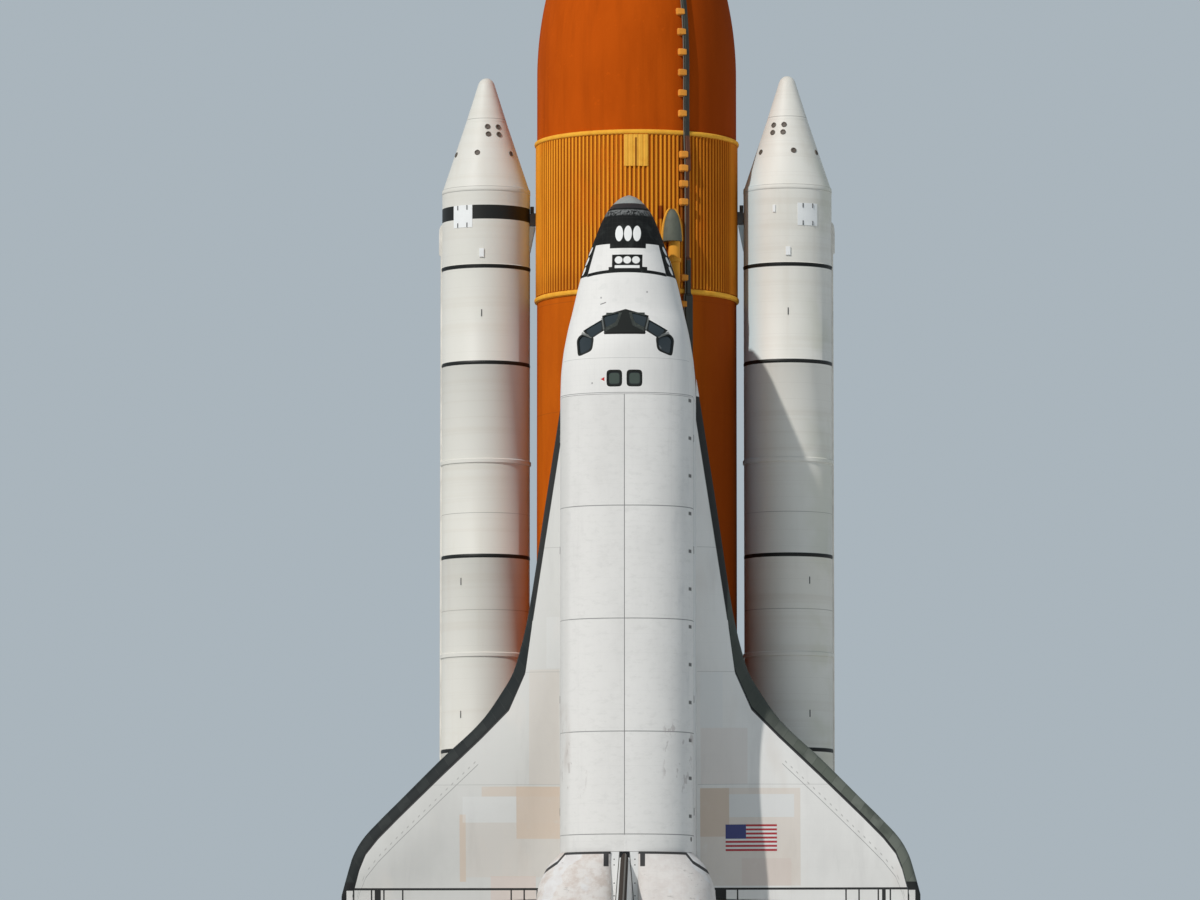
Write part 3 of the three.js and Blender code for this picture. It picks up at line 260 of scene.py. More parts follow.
class Look:
    """A material whose colour, roughness and bump are built from small sums of nodes."""

    def __init__(self, name, colour, roughness=0.6, metallic=0.0, specular=0.5):
        self.material = bpy.data.materials.new(name)
        self.material.use_nodes = True
        self.tree = self.material.node_tree
        self.shader = self.tree.nodes["Principled BSDF"]
        self.shader.inputs["Roughness"].default_value = roughness
        self.shader.inputs["Metallic"].default_value = metallic
        self.shader.inputs["Specular IOR Level"].default_value = specular
        self.shader.inputs["Base Color"].default_value = (*colour, 1)
        self.colour = (*colour, 1)
        self.texture = self.tree.nodes.new("ShaderNodeTexCoord")
        self.place = self.texture.outputs["Object"]
        self.split = None

    def _set(self, socket, value):
        if isinstance(value, bpy.types.NodeSocket):
            self.tree.links.new(value, socket)
        elif value is not None:
            socket.default_value = value

    def math(self, operation, a, b=None, c=None, clamp=False):
        node = self.tree.nodes.new("ShaderNodeMath")
        node.operation = operation
        node.use_clamp = clamp
        for socket, value in zip(node.inputs, (a, b, c)):
            self._set(socket, value)
        return node.outputs[0]

    def axes(self):
        """The place in metres as three numbers of the row's frame."""
        if self.split is None:
            node = self.tree.nodes.new("ShaderNodeSeparateXYZ")
            self.tree.links.new(self.place, node.inputs[0])
            self.split = node.outputs
        return self.split

    def station(self, offset=0.0):
        """The station along x in inches, less an offset."""
        return self.math("MULTIPLY_ADD", self.axes()[2], -1 / INCH, FLOOR_STATION - offset)

    def starboard(self, offset=0.0):
        return self.math("MULTIPLY_ADD", self.axes()[0], 1 / INCH, -offset)

    def height(self, offset=0.0):
        return self.math("MULTIPLY_ADD", self.axes()[1], -1 / INCH, MIDDLE - offset)

    def orbiter(self):
        """The orbiter's station, offset to starboard and level, and the offset without its sign."""
        y = self.starboard()
        return self.station(ORBITER_STATION), y, self.height(ORBITER_HEIGHT), self.math("ABSOLUTE", y)

    def noise(self, scale, detail=3.0, stretch=(1, 1, 1), roughness=0.55, seed=0.0):
        """Noise from 0 to 1 with so many waves a metre, stretched along the row's axes."""
        mapping = self.tree.nodes.new("ShaderNodeMapping")
        mapping.inputs["Scale"].default_value = stretch
        mapping.inputs["Location"].default_value = (seed, seed * 0.7, seed * 1.3)
        self.tree.links.new(self.place, mapping.inputs["Vector"])
        node = self.tree.nodes.new("ShaderNodeTexNoise")
        node.inputs["Scale"].default_value = scale
        node.inputs["Detail"].default_value = detail
        node.inputs["Roughness"].default_value = roughness
        self.tree.links.new(mapping.outputs[0], node.inputs["Vector"])
        return node.outputs["Fac"]

    def ramp(self, value, low, high):
        """0 below low, 1 above high, smooth between."""
        node = self.tree.nodes.new("ShaderNodeMapRange")
        node.interpolation_type = "SMOOTHSTEP"
        self._set(node.inputs["Value"], value)
        node.inputs["From Min"].default_value = low
        node.inputs["From Max"].default_value = high
        return node.outputs["Result"]

    def under(self, value, low, high):
        """1 below low, 0 above high, smooth between."""
        return self.math("SUBTRACT", 1.0, self.ramp(value, low, high))

    def blots(self, low, high, *noise):
        """0 where a noise is below low, 1 where it is above high."""
        return self.ramp(self.noise(*noise), low, high)

    def mottle(self, colour, share, *noise, between=(0.4, 0.7)):
        """Lays a colour over the blots of a noise."""
        return self.paint(self.blots(*between, *noise), colour, share)

    def scaled(self, value, start, end, low=0.0, high=1.0):
        """A value's run from low to high, turned into one from start to end."""
        node = self.tree.nodes.new("ShaderNodeMapRange")
        self._set(node.inputs["Value"], value)
        for key, number in (("From Min", low), ("From Max", high), ("To Min", start), ("To Max", end)):
            node.inputs[key].default_value = number
        return node.outputs["Result"]

    def distance(self, u, v, centre=(0.0, 0.0)):
        """How far a place lies from a point, over two numbers."""
        gaps = [self.math("SUBTRACT", value, at) for value, at in zip((u, v), centre)]
        return self.math("SQRT", self.math("ADD", *(self.math("MULTIPLY", gap, gap) for gap in gaps)))

    def bands(self, value, places, half, edge=0.3):
        """1 about each of several values."""
        return self.either(*(self.band(value, at - half, at + half, edge) for at in places))

    def band(self, value, low, high, edge=0.3):
        """1 where the value lies between low and high."""
        middle, half = (low + high) / 2, (high - low) / 2
        away = self.math("ABSOLUTE", self.math("SUBTRACT", value, middle))
        return self.under(away, half - edge / 2, half + edge / 2)

    def lines(self, value, pitch, width, offset=0.0):
        """1 on thin lines that repeat at a pitch."""
        node = self.math("PINGPONG", self.math("SUBTRACT", value, offset), pitch / 2)
        return self.under(node, width * 0.3, width * 0.7)

    def both(self, *masks):
        result = masks[0]
        for mask in masks[1:]:
            result = self.math("MULTIPLY", result, mask)
        return result

    def either(self, *masks):
        result = masks[0]
        for mask in masks[1:]:
            result = self.math("MAXIMUM", result, mask)
        return result

    def curve(self, value, table):
        """The value of straight lines through a table of (x, value) rows."""
        x0, x1 = table[0][0], table[-1][0]
        low, high = min(row[1] for row in table), max(row[1] for row in table)
        node = self.tree.nodes.new("ShaderNodeFloatCurve")
        line = node.mapping.curves[0]
        points = [((x - x0) / (x1 - x0), (v - low) / (high - low)) for x, v in table]
        line.points[0].location, line.points[1].location = points[0], points[-1]
        for point in points[1:-1]:
            line.points.new(*point)
        for point in line.points:
            point.handle_type = "VECTOR"
        node.mapping.update()
        share = self.math("DIVIDE", self.math("SUBTRACT", value, x0), x1 - x0, clamp=True)
        self.tree.links.new(share, node.inputs["Value"])
        return self.math("MULTIPLY_ADD", node.outputs["Value"], high - low, low)

    def tile(self, u, v, centre, half, edge=0.4):
        """1 inside a rectangle with round corners over two numbers."""
        powers = []
        for value, middle, reach in zip((u, v), centre, half):
            away = self.math("ABSOLUTE", self.math("SUBTRACT", value, middle))
            powers.append(self.math("POWER", self.math("DIVIDE", away, reach), 5.0))
        soft = edge * 2.5 / min(half)
        return self.under(self.math("ADD", *powers), 1 - soft, 1 + soft)

    def oval(self, u, v, centre, half, edge=0.4):
        """1 inside an ellipse over two numbers."""
        a = self.math("DIVIDE", self.math("SUBTRACT", u, centre[0]), half[0])
        b = self.math("DIVIDE", self.math("SUBTRACT", v, centre[1]), half[1])
        away = self.math("ADD", self.math("MULTIPLY", a, a), self.math("MULTIPLY", b, b))
        soft = edge / min(half)
        return self.under(away, 1 - soft, 1 + soft)

    def paint(self, mask, colour, share=1.0):
        """Lays a colour over what is there wherever the mask is 1."""
        node = self.tree.nodes.new("ShaderNodeMix")
        node.data_type = "RGBA"
        if share != 1.0:
            mask = self.math("MULTIPLY", mask, share)
        self._set(node.inputs["Factor"], mask)
        self._set(node.inputs["A"], self.colour)
        self._set(node.inputs["B"], (*colour, 1))
        self.colour = node.outputs["Result"]
        return self

    def rough(self, mask, low, high):
        self.tree.links.new(self.scaled(mask, low, high), self.shader.inputs["Roughness"])
        return self

    def relief(self, grooves, depth, scale):
        """Grooves with a fine grain between them."""
        grain = self.noise(scale, 3)
        return self.bump(self.math("ADD", self.math("MULTIPLY", grooves, -depth), grain), 0.003, 0.5)

    def bump(self, height, distance=0.002, strength=1.0):
        node = self.tree.nodes.new("ShaderNodeBump")
        node.inputs["Strength"].default_value = strength
        node.inputs["Distance"].default_value = distance
        self._set(node.inputs["Height"], height)
        self.tree.links.new(node.outputs["Normal"], self.shader.inputs["Normal"])
        return self

    def done(self):
        self._set(self.shader.inputs["Base Color"], self.colour)
        return self.material


def toned(colour, factor):
    """A lighter or darker shade of a colour."""
    return tuple(min(1, c * factor) for c in colour)


def plain(name, colour, roughness, metallic=0.0, bump=0.0):
    """A simple finish with some variation in its colour and roughness."""
    look = Look(name, colour, roughness, metallic)
    noise = look.noise(3.0, 4)
    look.paint(look.ramp(noise, 0.35, 0.7), toned(colour, 0.7), 0.6)
    look.rough(noise, max(0.05, roughness - 0.12), min(1, roughness + 0.12))
    if bump:
        look.bump(look.noise(24.0, 3), bump)
    return look.done()


# External tank

TANK_RADIUS = 165.5
OGIVE_RADIUS = 612
OGIVE_END = 745
INTERTANK = (853, 1123)
FLANGE_RADIUS = 170
FEEDLINE_ANGLE = math.radians(22.7)
TRAY_ANGLE = math.radians(31.6)


def ogive(x):
    return TANK_RADIUS - OGIVE_RADIUS + math.sqrt(OGIVE_RADIUS**2 - (OGIVE_END - min(x, OGIVE_END)) ** 2)


def tank_surface(x):
    return FLANGE_RADIUS if INTERTANK[0] - 3 < x < INTERTANK[1] + 3 else ogive(x)


def foam(name, light, dark, streaks=0.5):
    """Sprayed foam: blotches, faint streaks down the wall and an orange-peel bump."""
    look = Look(name, light, 0.9, 0, 0.05)
    blotch = look.noise(0.9, 5, (1, 1, 0.35), 0.6)
    streak = look.noise(2.6, 4, (1, 1, 0.05), 0.6, 3.0)
    look.paint(look.ramp(blotch, 0.38, 0.66), dark, 0.75)
    look.paint(look.ramp(streak, 0.45, 0.75), toned(dark, 0.62), streaks)
    look.mottle(toned(light, 1.25), 0.35, 7.0, 3, (1, 1, 1), 0.7, 9.0, between=(0.62, 0.74))
    look.rough(blotch, 0.78, 0.95)
    look.bump(look.noise(14, 5), 0.004, 0.5)
    return look


def oxygen_tank():
    look = foam("oxygen_foam", (0.53, 0.084, 0.003), (0.43, 0.064, 0.002), 0.35)
    # Painted shade: the foam darkens towards starboard, the side away from the key light
    look.paint(look.ramp(look.starboard(), 60, 150), (0.25, 0.037, 0.002), 0.6)
    # Painted shadow: a sharper dark step just starboard of the cable tray, where the tray's shadow falls
    look.paint(look.ramp(look.starboard(), 84, 92), (0.26, 0.036, 0.002), 0.35)
    material = look.done()
    xs = np.linspace(371, OGIVE_END, 48)
    profile = [(0, 322.6), (0.9, 323.2), (1.5, 324.6), (2.2, 334)]
    profile += [(3.4, 342), (9, 347.5), (17, 353.5), (29.4, 364)]
    profile += [(ogive(x), x) for x in xs]
    profile += [(TANK_RADIUS, 846), (TANK_RADIUS, 852.95), (0, 852.95)]
    piece = Build().lathe(profile, 144).piece("oxygen_tank_foam", material, slot="tank_foam")
    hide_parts("oxygen_tank")

    cap = Look("nose_cap_foam", (0.30, 0.17, 0.08), 0.7)
    cap.mottle((0.2, 0.11, 0.05), 0.5, 20, 3)
    ring = [(8.6, 347.2), (17.2, 352.6), (30.2, 363.0), (30.9, 364.8), (28, 364.8), (8, 348)]
    Build().lathe(ring, 72, close=True).piece("tank_nose_ring", cap.done(), slot="tank_foam")


RIBS = 144
RIB_FOOT, RIB_CREST = 165.9, 168.35


def rib_ring():
    """Angles and radii round the ribbed wall, plain where the boosters' thrust beam meets it."""
    skin, crest = RIB_FOOT, RIB_CREST
    pitch, plain_half = math.radians(360 / RIBS), math.radians(21)
    rib = [(0.12, crest), (0.2, crest - 0.2), (0.27, skin), (0.45, skin)]
    rib = [(-t, r) for t, r in reversed(rib)] + rib
    ring = []
    for k in range(RIBS):
        middle = -math.pi + (k + 0.5) * pitch
        side = abs(abs(middle) - math.pi / 2)
        if side < plain_half:
            ring += [(middle + t * pitch, crest - 0.6) for t in (-0.4, 0, 0.4)]
            continue
        ring += [(middle + t * pitch, r) for t, r in rib]
    return ring


def intertank_look():
    """Golden foam with painted shade between the ribs and towards starboard, and stains beside the cable tray
    and the feedline's fairing.
    """
    look = foam("intertank_foam", (0.93, 0.36, 0.027), (0.76, 0.25, 0.017), 0.3)
    angle = look.math("ARCTAN2", look.starboard(), look.height())
    # Painted shade: dark red-brown in the grooves between the ribs
    low = look.under(look.distance(look.starboard(), look.height()), RIB_FOOT + 0.4, RIB_CREST - 0.3)
    look.paint(low, (0.34, 0.075, 0.006), 0.85)
    patch = look.noise(1.3, 3, (1, 1, 0.5), 0.5, 5.0)
    look.paint(look.ramp(patch, 0.52, 0.7), (0.72, 0.19, 0.012), 0.5)
    beside = look.band(angle, TRAY_ANGLE - 0.085, TRAY_ANGLE - 0.01, 0.02)
    look.paint(look.both(beside, look.under(look.station(), 1000, 1010)), (0.22, 0.045, 0.008), 0.75)
    stain = look.both(look.band(angle, 0.255, 0.31, 0.02), look.band(look.station(), 979, 1001, 3))
    look.paint(stain, (0.22, 0.03, 0.008), 0.85)
    # Painted shade: darker towards starboard, away from the key light
    look.paint(look.ramp(look.starboard(), 60, 150), (0.42, 0.10, 0.008), 0.5)
    smudges = look.blots(0.4, 0.6, 1.1, 3, (1, 1, 0.3), 0.5, 8)
    look.paint(look.both(look.ramp(look.station(), 1060, 1105), smudges), (0.36, 0.085, 0.008), 0.45)
    return look.done()


def intertank():
    """The ribbed cylinder between the tanks, with all that sits on it."""
    ring = rib_ring()
    rows = []
    for x, ribbed in ((861.2, 0), (862, 1), (868, 1), (1108, 1), (1113, 1), (1114.2, 0)):
        rows.append([about(a, r if ribbed else RIB_FOOT - 0.3, x) for a, r in ring])
    wall = Build().grid(rows, caps=False)
    piece = wall.piece("intertank_ribs", intertank_look(), slot="intertank_foam", sharp=30)
    thrust_fittings()
    flanges()
    access_panel()
    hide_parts("intertank")


def thrust_fittings():
    """What catches each booster's forward end."""
    steel = plain("thrust_fitting_grey", (0.10, 0.10, 0.095), 0.5, 0.3)
    fitting = Build()
    for side in (-1, 1):
        fitting.box((972, 991), sorted((side * 160, side * (BOOSTER_OFFSET - 73.03))), (-9, 9))
        fitting.box((970.6, 972), sorted((side * 168, side * 176.6)), (-7, 7))
        fitting.rod((959, side * 174, 0), (972, side * 174, 0), 3.1)
    fitting.piece("thrust_fittings", steel, slot="strut_steel", sharp=30)


def flanges():
    """The foam bands at both ends of the intertank."""
    band = Look("flange_foam", (0.90, 0.45, 0.05), 0.85, 0, 0.1)
    band.mottle((0.78, 0.33, 0.03), 0.6, 6, 3, (1, 1, 0.3))
    band.bump(band.noise(40, 3), 0.003, 0.5)
    band_material = band.done()
    rim = [(160, 0), (TANK_RADIUS + 0.4, 0), (169.2, 1.6), (169.9, 3.4)]
    for name, start, end in (("top", 853.02, 861.6), ("bottom", 1113.8, 1122.98)):
        outline = [(r, start + x) for r, x in rim] + [(r, end - x) for r, x in reversed(rim)]
        flange = Build().lathe(outline, 144, close=True)
        flange.piece(f"intertank_{name}_flange", band_material, slot="intertank_foam")


def access_panel():
    """The ribbed panel under the upper flange."""
    panel = Look("access_panel_foam", (0.88, 0.45, 0.06), 0.85, 0, 0.1)
    panel.mottle((0.76, 0.34, 0.035), 0.5, 5, 3)
    middle = panel.both(panel.band(panel.starboard(), 4.8, 8.2, 0.5), panel.ramp(panel.station(), 866, 868))
    panel.paint(middle, (0.20, 0.05, 0.006), 0.85)
    half = math.asin(20 / TANK_RADIUS)
    ridges = []
    for k in range(5):
        for t, r in ((0.06, 168.6), (0.22, 169.5), (0.78, 169.5), (0.94, 168.6)):
            ridges.append((-half + (k + t) / 5 * 2 * half, r))
    section = [(-half, 166)] + ridges + [(half, 166)]
    turn = math.radians(2.3)
    rows = [[about(a + turn, r, x) for a, r in section] for x in (861.7, 914)]
    Build().grid(rows).piece("access_panel", panel.done(), slot="intertank_foam", sharp=30)


def hydrogen_tank():
    look = foam("hydrogen_foam", (0.56, 0.115, 0.005), (0.46, 0.085, 0.004), 0.45)
    look.paint(look.lines(look.station(), 180, 1.2, 1133), (0.25, 0.06, 0.01), 0.35)
    # Painted shade: darker towards starboard, away from the key light
    look.paint(look.ramp(look.starboard(), 60, 140), (0.24, 0.036, 0.003), 0.75)
    arc = np.linspace(0, math.pi / 2, 24)[:-1]
    dome = [(TANK_RADIUS * math.cos(t), 2058 + 115 * math.sin(t)) for t in arc]
    profile = [(0, 1123.05), (TANK_RADIUS, 1123.05), (TANK_RADIUS, 1600)] + dome + [(0, 2173)]
    piece = Build().lathe(profile, 144).piece("hydrogen_tank_foam", look.done(), slot="tank_foam")
    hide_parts("hydrogen_tank")
    ring = [(164, 2049), (167.2, 2050.5), (167.2, 2063.5), (164, 2065)]
    rim = plain("ring_frame_foam", (0.50, 0.20, 0.045), 0.85, bump=0.002)
    Build().lathe(ring, 144, close=True).piece("aft_ring_frame", rim, slot="tank_foam")


def fairing_radius(t):
    """The feedline fairing's radius, at a share of its length from the tip."""
    return 16.4 * math.sqrt(1 - (1 - t) ** 1.9)


def feedline():
    """The oxygen pipe, its fairing, its brackets and the elbow under the orbiter's tail."""
    out = TANK_RADIUS + 14
    _, y, z = about(FEEDLINE_ANGLE, out, 0)
    _, fy, fz = about(FEEDLINE_ANGLE - 0.022, FLANGE_RADIUS + 9, 0)
    grey = Look("fairing_grey", (0.115, 0.125, 0.095), 0.7)
    grey.mottle((0.085, 0.09, 0.07), 0.6, 8, 4)
    nose = [(fairing_radius(t), 985 + 54 * t) for t in np.linspace(0, 1, 24)]
    fairing = Build().lathe(nose + [(0, 1039)], 48, fy, fz)
    fairing = fairing.piece("feedline_fairing", grey.done(), slot="dark_tray")

    tan = Look("pipe_tan", (0.84, 0.38, 0.045), 0.8, 0, 0.15)
    tan.mottle((0.70, 0.28, 0.03), 0.6, 3, 4, (1, 1, 0.4))
    # Painted shade: the pipe is darker in blotches below station 1085, under the orbiter
    lower = tan.ramp(tan.station(), 1085, 1110)
    tan.paint(tan.both(lower, tan.blots(0.3, 0.5, 1.4, 3, (1, 1, 0.25), 0.5, 4)), (0.40, 0.15, 0.02), 0.7)
    tan_material = tan.done()
    rim = Build()
    for turn in (-1, 1):
        rows = []
        for t in np.linspace(0.02, 1, 20):
            angle = FEEDLINE_ANGLE + turn * math.pi / 2
            x, dy, dz = about(angle, fairing_radius(t) + 0.6, 983.4 + 54 * t)
            rows.append(ring_at(x, fy + dy, fz + dz, 2.1, 8))
        rim.grid(rows)
    rim.piece("fairing_rim", tan_material, slot="pipe_foam")

    pipe = Build()
    path = [(x, y, z) for x in np.linspace(1036, 2049, 40)]
    start, end, foot = 2047, 2090, 195.5
    for t in np.linspace(0.08, 1, 14):
        x = start * (1 - t) ** 2 + 2 * end * t * (1 - t) + end * t * t
        path.append((x, y + t * t, z * (1 - t * t) + foot * t * t))
    rows = []
    for i, p in enumerate(path):
        before, after = Vector(path[max(0, i - 1)]), Vector(path[min(len(path) - 1, i + 1)])
        turn = (after - before).to_track_quat("Z", "Y")
        ring = [Vector((9.5 * math.cos(s), 9.5 * math.sin(s), 0)) for s in circle(32)]
        rows.append([tuple(Vector(p) + turn @ q) for q in ring])
    pipe.grid(rows)
    for x in (1070, 1200, 1410, 1620, 1830, 2020):
        pipe.lathe([(9.2, x - 4), (11, x - 3), (11, x + 3), (9.2, x + 4)], 32, y, z, close=True)
    pipe.box((2078, 2102), (y - 14.8, y + 15), (191.7, 203.4))
    for x in (1200, 1410, 1620, 1830, 2020):
        pipe.rod(about(FEEDLINE_ANGLE, TANK_RADIUS - 2, x), about(FEEDLINE_ANGLE, out - 4, x), 5, 4)
    main = pipe.piece("feedline_pipe", tan_material, slot="pipe_foam")
    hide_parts("oxygen_feedline")
    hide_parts("oxygen_feedline")


def cable_tray():
    """The dark tray down the tank's side, thinner over the intertank's ribs."""
    dark = Look("tray_dark", (0.040, 0.042, 0.032), 0.55, 0.1)
    dark.mottle((0.018, 0.017, 0.014), 0.8, 9, 3, (1, 1, 0.2))
    crossing = dark.band(dark.station(), 862, 1068, 3)
    dark.paint(crossing, (0.15, 0.04, 0.012), 0.8)
    stations = list(np.linspace(420, 745, 40)) + [800, 846, 850, 918, 922, 1062, 1066, 1122, 1126, 1130]
    stations += list(np.linspace(1150, 2045, 20))
    tray = Build()
    across = [(-3.6, 0.2), (4.2, 0.2), (4.2, 5.8), (3.4, 6.5), (-2.8, 6.5), (-3.6, 5.8)]
    rows = []
    for x in stations:
        _, y, z = about(TRAY_ANGLE, tank_surface(x), x)
        cos, sin = math.cos(TRAY_ANGLE), math.sin(TRAY_ANGLE)
        share = 0.25 if 920 < x < 1064 else 1
        wide = 6 if x > 1124 else 0
        flat = [(a + (wide if a > 0 else 0), b * share) for a, b in across]
        rows.append([(x, y + a * cos + b * sin, z - a * sin + b * cos) for a, b in flat])
    tray.grid(rows)
    main = tray.piece("tray_box", dark.done(), slot="dark_tray")
    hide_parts("cable_tray")

    pressure_line(stations)
    tray_brackets()


def pressure_line(stations):
    """The thin pipe that runs beside the tray."""
    line = plain("pressure_line", (0.17, 0.155, 0.12), 0.45, 0.2)
    pipe = Build()
    rows = []
    for x in stations:
        centre = about(TRAY_ANGLE - 5.2 / TANK_RADIUS, tank_surface(x) + 4.2, x)
        rows.append(ring_at(*centre, 1.1, 10))
    pipe.grid(rows)
    pipe.piece("pressure_line", line, slot="strut_steel")


def tray_brackets():
    """The foam blocks that hold the tray and the pressure line."""
    tan = plain("bracket_foam", (0.78, 0.30, 0.03), 0.85, bump=0.002)
    blocks = Build()
    for x in [*np.arange(451, 840, 34), 893.5, 916, 942, 972, 1097, *np.arange(1140, 2030, 43)]:
        rows = []
        for dx, inset, rise in ((-6, 1.4, 1.5), (-4, 0, 5.2), (4, 0, 5.2), (6, 1.4, 1.5)):
            section = []
            corners = [(-14 + inset, -1.5), (-1.6, -1.5)]
            corners += [(-1.6, rise + 2.2), (-5, rise + 2.2), (-12.6 + inset, rise)]
            for side, out in corners:
                _, y, z = about(TRAY_ANGLE, tank_surface(x + dx) + out, x)
                section.append((x + dx, y + side * math.cos(TRAY_ANGLE), z - side * math.sin(TRAY_ANGLE)))
            rows.append(section)
        blocks.grid(rows)
    blocks.piece("tray_brackets", tan, slot="pipe_foam")


# Boosters

CASE_RADIUS = 73
SKIRT_BASE = 1930.64
BOOSTER_PIVOT = 1869
BLACK_BANDS = (523, 683, 1003, 1323, 1643)


def booster_white(hand):
    """Warm white paint with faint hoops, weathering and the narrow black bands, a painted shade that darkens
    the left booster, and a painted cool tint on the upper inboard side against the tank's orange bounce
    light.
    """
    # Painted shade: the left booster's white is darker than the right's
    base = (0.73, 0.712, 0.662) if hand == "left" else (0.785, 0.767, 0.715)
    look = Look(f"{hand}_booster_paint", base, 0.5, 0, 0.3)
    x = look.station(BOOSTER_STATION)
    soil = look.noise(0.8, 5, (1, 1, 0.4), 0.6)
    look.paint(look.ramp(soil, 0.4, 0.7), (0.71, 0.695, 0.635), 0.6)
    look.paint(look.lines(x, 27, 0.9, 395), (0.62, 0.59, 0.54), 0.22)
    seams = look.bands(x, (271, 389.6, 396.6, 932, 1092), 0.5, 0.3)
    look.paint(seams, (0.30, 0.29, 0.27), 0.75)
    look.mottle((0.64, 0.59, 0.51), 0.35, 1.8, 4, (1, 1, 0.06), 0.6, 2.0, between=(0.5, 0.75))
    hoops = look.noise(6, 2, (0.02, 0.02, 1), 0.5, 7.0)
    look.paint(look.ramp(hoops, 0.5, 0.72), (0.66, 0.62, 0.55), 0.35)
    black = look.bands(x, BLACK_BANDS, 3.2, 0.6)
    if hand == "left":
        black = look.either(black, look.band(x, 421, 444.4, 0.6))
    else:
        outer = look.both(look.ramp(look.starboard(BOOSTER_OFFSET), 15, 60), look.blots(0.45, 0.6, 0.7, 3))
        look.paint(outer, (0.56, 0.56, 0.43), 0.35)
    # Painted light: a cool blue tint on the upper inboard side, against the orange light bounced from the
    # tank
    side = -1 if hand == "left" else 1
    inner = look.math("MULTIPLY", look.starboard(side * BOOSTER_OFFSET), -side)
    inner = look.both(look.ramp(inner, 30, 72), look.under(x, 850, 1150))
    look.paint(inner, (0.55, 0.76, 0.86), 0.8)
    look.paint(black, (0.012, 0.013, 0.012))
    look.rough(soil, 0.42, 0.6)
    look.bump(look.noise(5, 3, (1, 1, 1)), 0.002, 0.35)
    return look.done()


def booster(hand, side):
    """One booster, from its nose down to the posts that it stands on."""
    paint = booster_white(hand)
    here = {"slot": "booster_paint", "place": on_booster(side)}
    booster_shells(hand, paint, here)
    cable_tunnel(hand, side, here)
    inboard_wedge(hand, side, paint, here)
    nose_motors(hand, side, here)
    skirt_panels(hand, side, here)
    case_marks(hand, side, here)
    aft_skirt(hand, on_booster(side))
    booster_nozzle(hand, on_booster(side))


def booster_shells(hand, paint, here):
    """The nose, the forward skirt and the four lengths of the case with their rings."""
    nose = [(0, 200), (3.6, 200.5), (6.8, 201.9), (9.6, 204.1), (11.8, 207), (13.2, 210), (14.2, 213)]
    nose += [(33.6, 274.4), (34.0, 275.4), (34.0, 276.8), (34.4, 277)]
    nose += [(71.7, 388.9), (72.8, 389.3), (73.2, 390.2), (73.4, 394.9), (0, 394.9)]
    cap = Build().lathe(nose, 96).piece(f"{hand}_nose_shell", paint, **here)
    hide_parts(f"{hand}_booster_nose")

    skirt = [(0, 395.05), (73.5, 395.05), (73.5, 396.9), (73, 397.6), (73, 518.6), (73.9, 519.8),
             (73.9, 522.9), (0, 522.9)]
    skirt_piece = Build().lathe(skirt, 96).piece(f"{hand}_skirt_shell", paint, **here)
    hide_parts(f"{hand}_forward_skirt")

    # Each case's start and end, and its rings' start, width and radius
    cases = {
        "case_forward": (523, 851.5, [(681, 4, 73.5), (841.5, 8.5, 75)]),
        "case_mid_forward": (851.5, 1171.5, [(1001, 4, 73.5), (1161.5, 8.5, 75)]),
        "case_mid_aft": (1171.5, 1491.5, [(1321, 4, 73.5), (1481.5, 8.5, 75)]),
        "case_aft": (1491.5, 1837, [(1505, 12, 77.9), (1574.5, 6, 77), (1641, 4, 73.5), (1694.5, 6, 77),
                                    (1774.5, 6, 77)]),
    }
    for name, (start, end, rings) in cases.items():
        profile = [(0, start + 0.05), (CASE_RADIUS, start + 0.05)]
        for x, width, height in rings:
            profile += [(CASE_RADIUS, x), (height, x + width * 0.18)]
            profile += [(height, x + width * 0.82), (CASE_RADIUS, x + width)]
        profile += [(CASE_RADIUS, end - 0.05), (0, end - 0.05)]
        piece = Build().lathe(profile, 96).piece(f"{hand}_{name}_shell", paint, **here)
        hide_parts(f"{hand}_{name}")


def cable_tunnel(hand, side, here):
    """The fairing over the cables, on the outboard side."""
    tunnel = Build()
    section = [(-5.4, -0.8), (5.4, -0.8), (5.4, 3.6), (4.2, 5.2), (-4.2, 5.2), (-5.4, 3.6)]
    rows = []
    for x, share in ((446, 0.2), (449, 0.6), (454, 0.9), (462, 1), (496, 1), (498.5, 0.5), (1836, 0.5)):
        rows.append([(x, side * (CASE_RADIUS + b * (share if b > 0 else 1)), a) for a, b in section])
    tunnel.grid(rows)
    tunnel_paint = plain(f"{hand}_tunnel_paint", (0.79, 0.76, 0.70), 0.5)
    piece = tunnel.piece(f"{hand}_tunnel_cover", tunnel_paint, **here)
    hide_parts(f"{hand}_cable_tunnel")


def inboard_wedge(hand, side, paint, here):
    """The wedge over the wires on the inboard side, below the nose."""
    wedge = Build()
    rows = []
    for x, r in ((450, 81), (451.5, 81.6), (492, 73.4)):
        section = ((71, -8), (r, -8), (r + 0.3, 0), (r, 8), (71, 8))
        rows.append([(x, -side * out, z) for out, z in section])
    wedge.grid(rows)
    wedge.piece(f"{hand}_inboard_wedge", paint, **here)


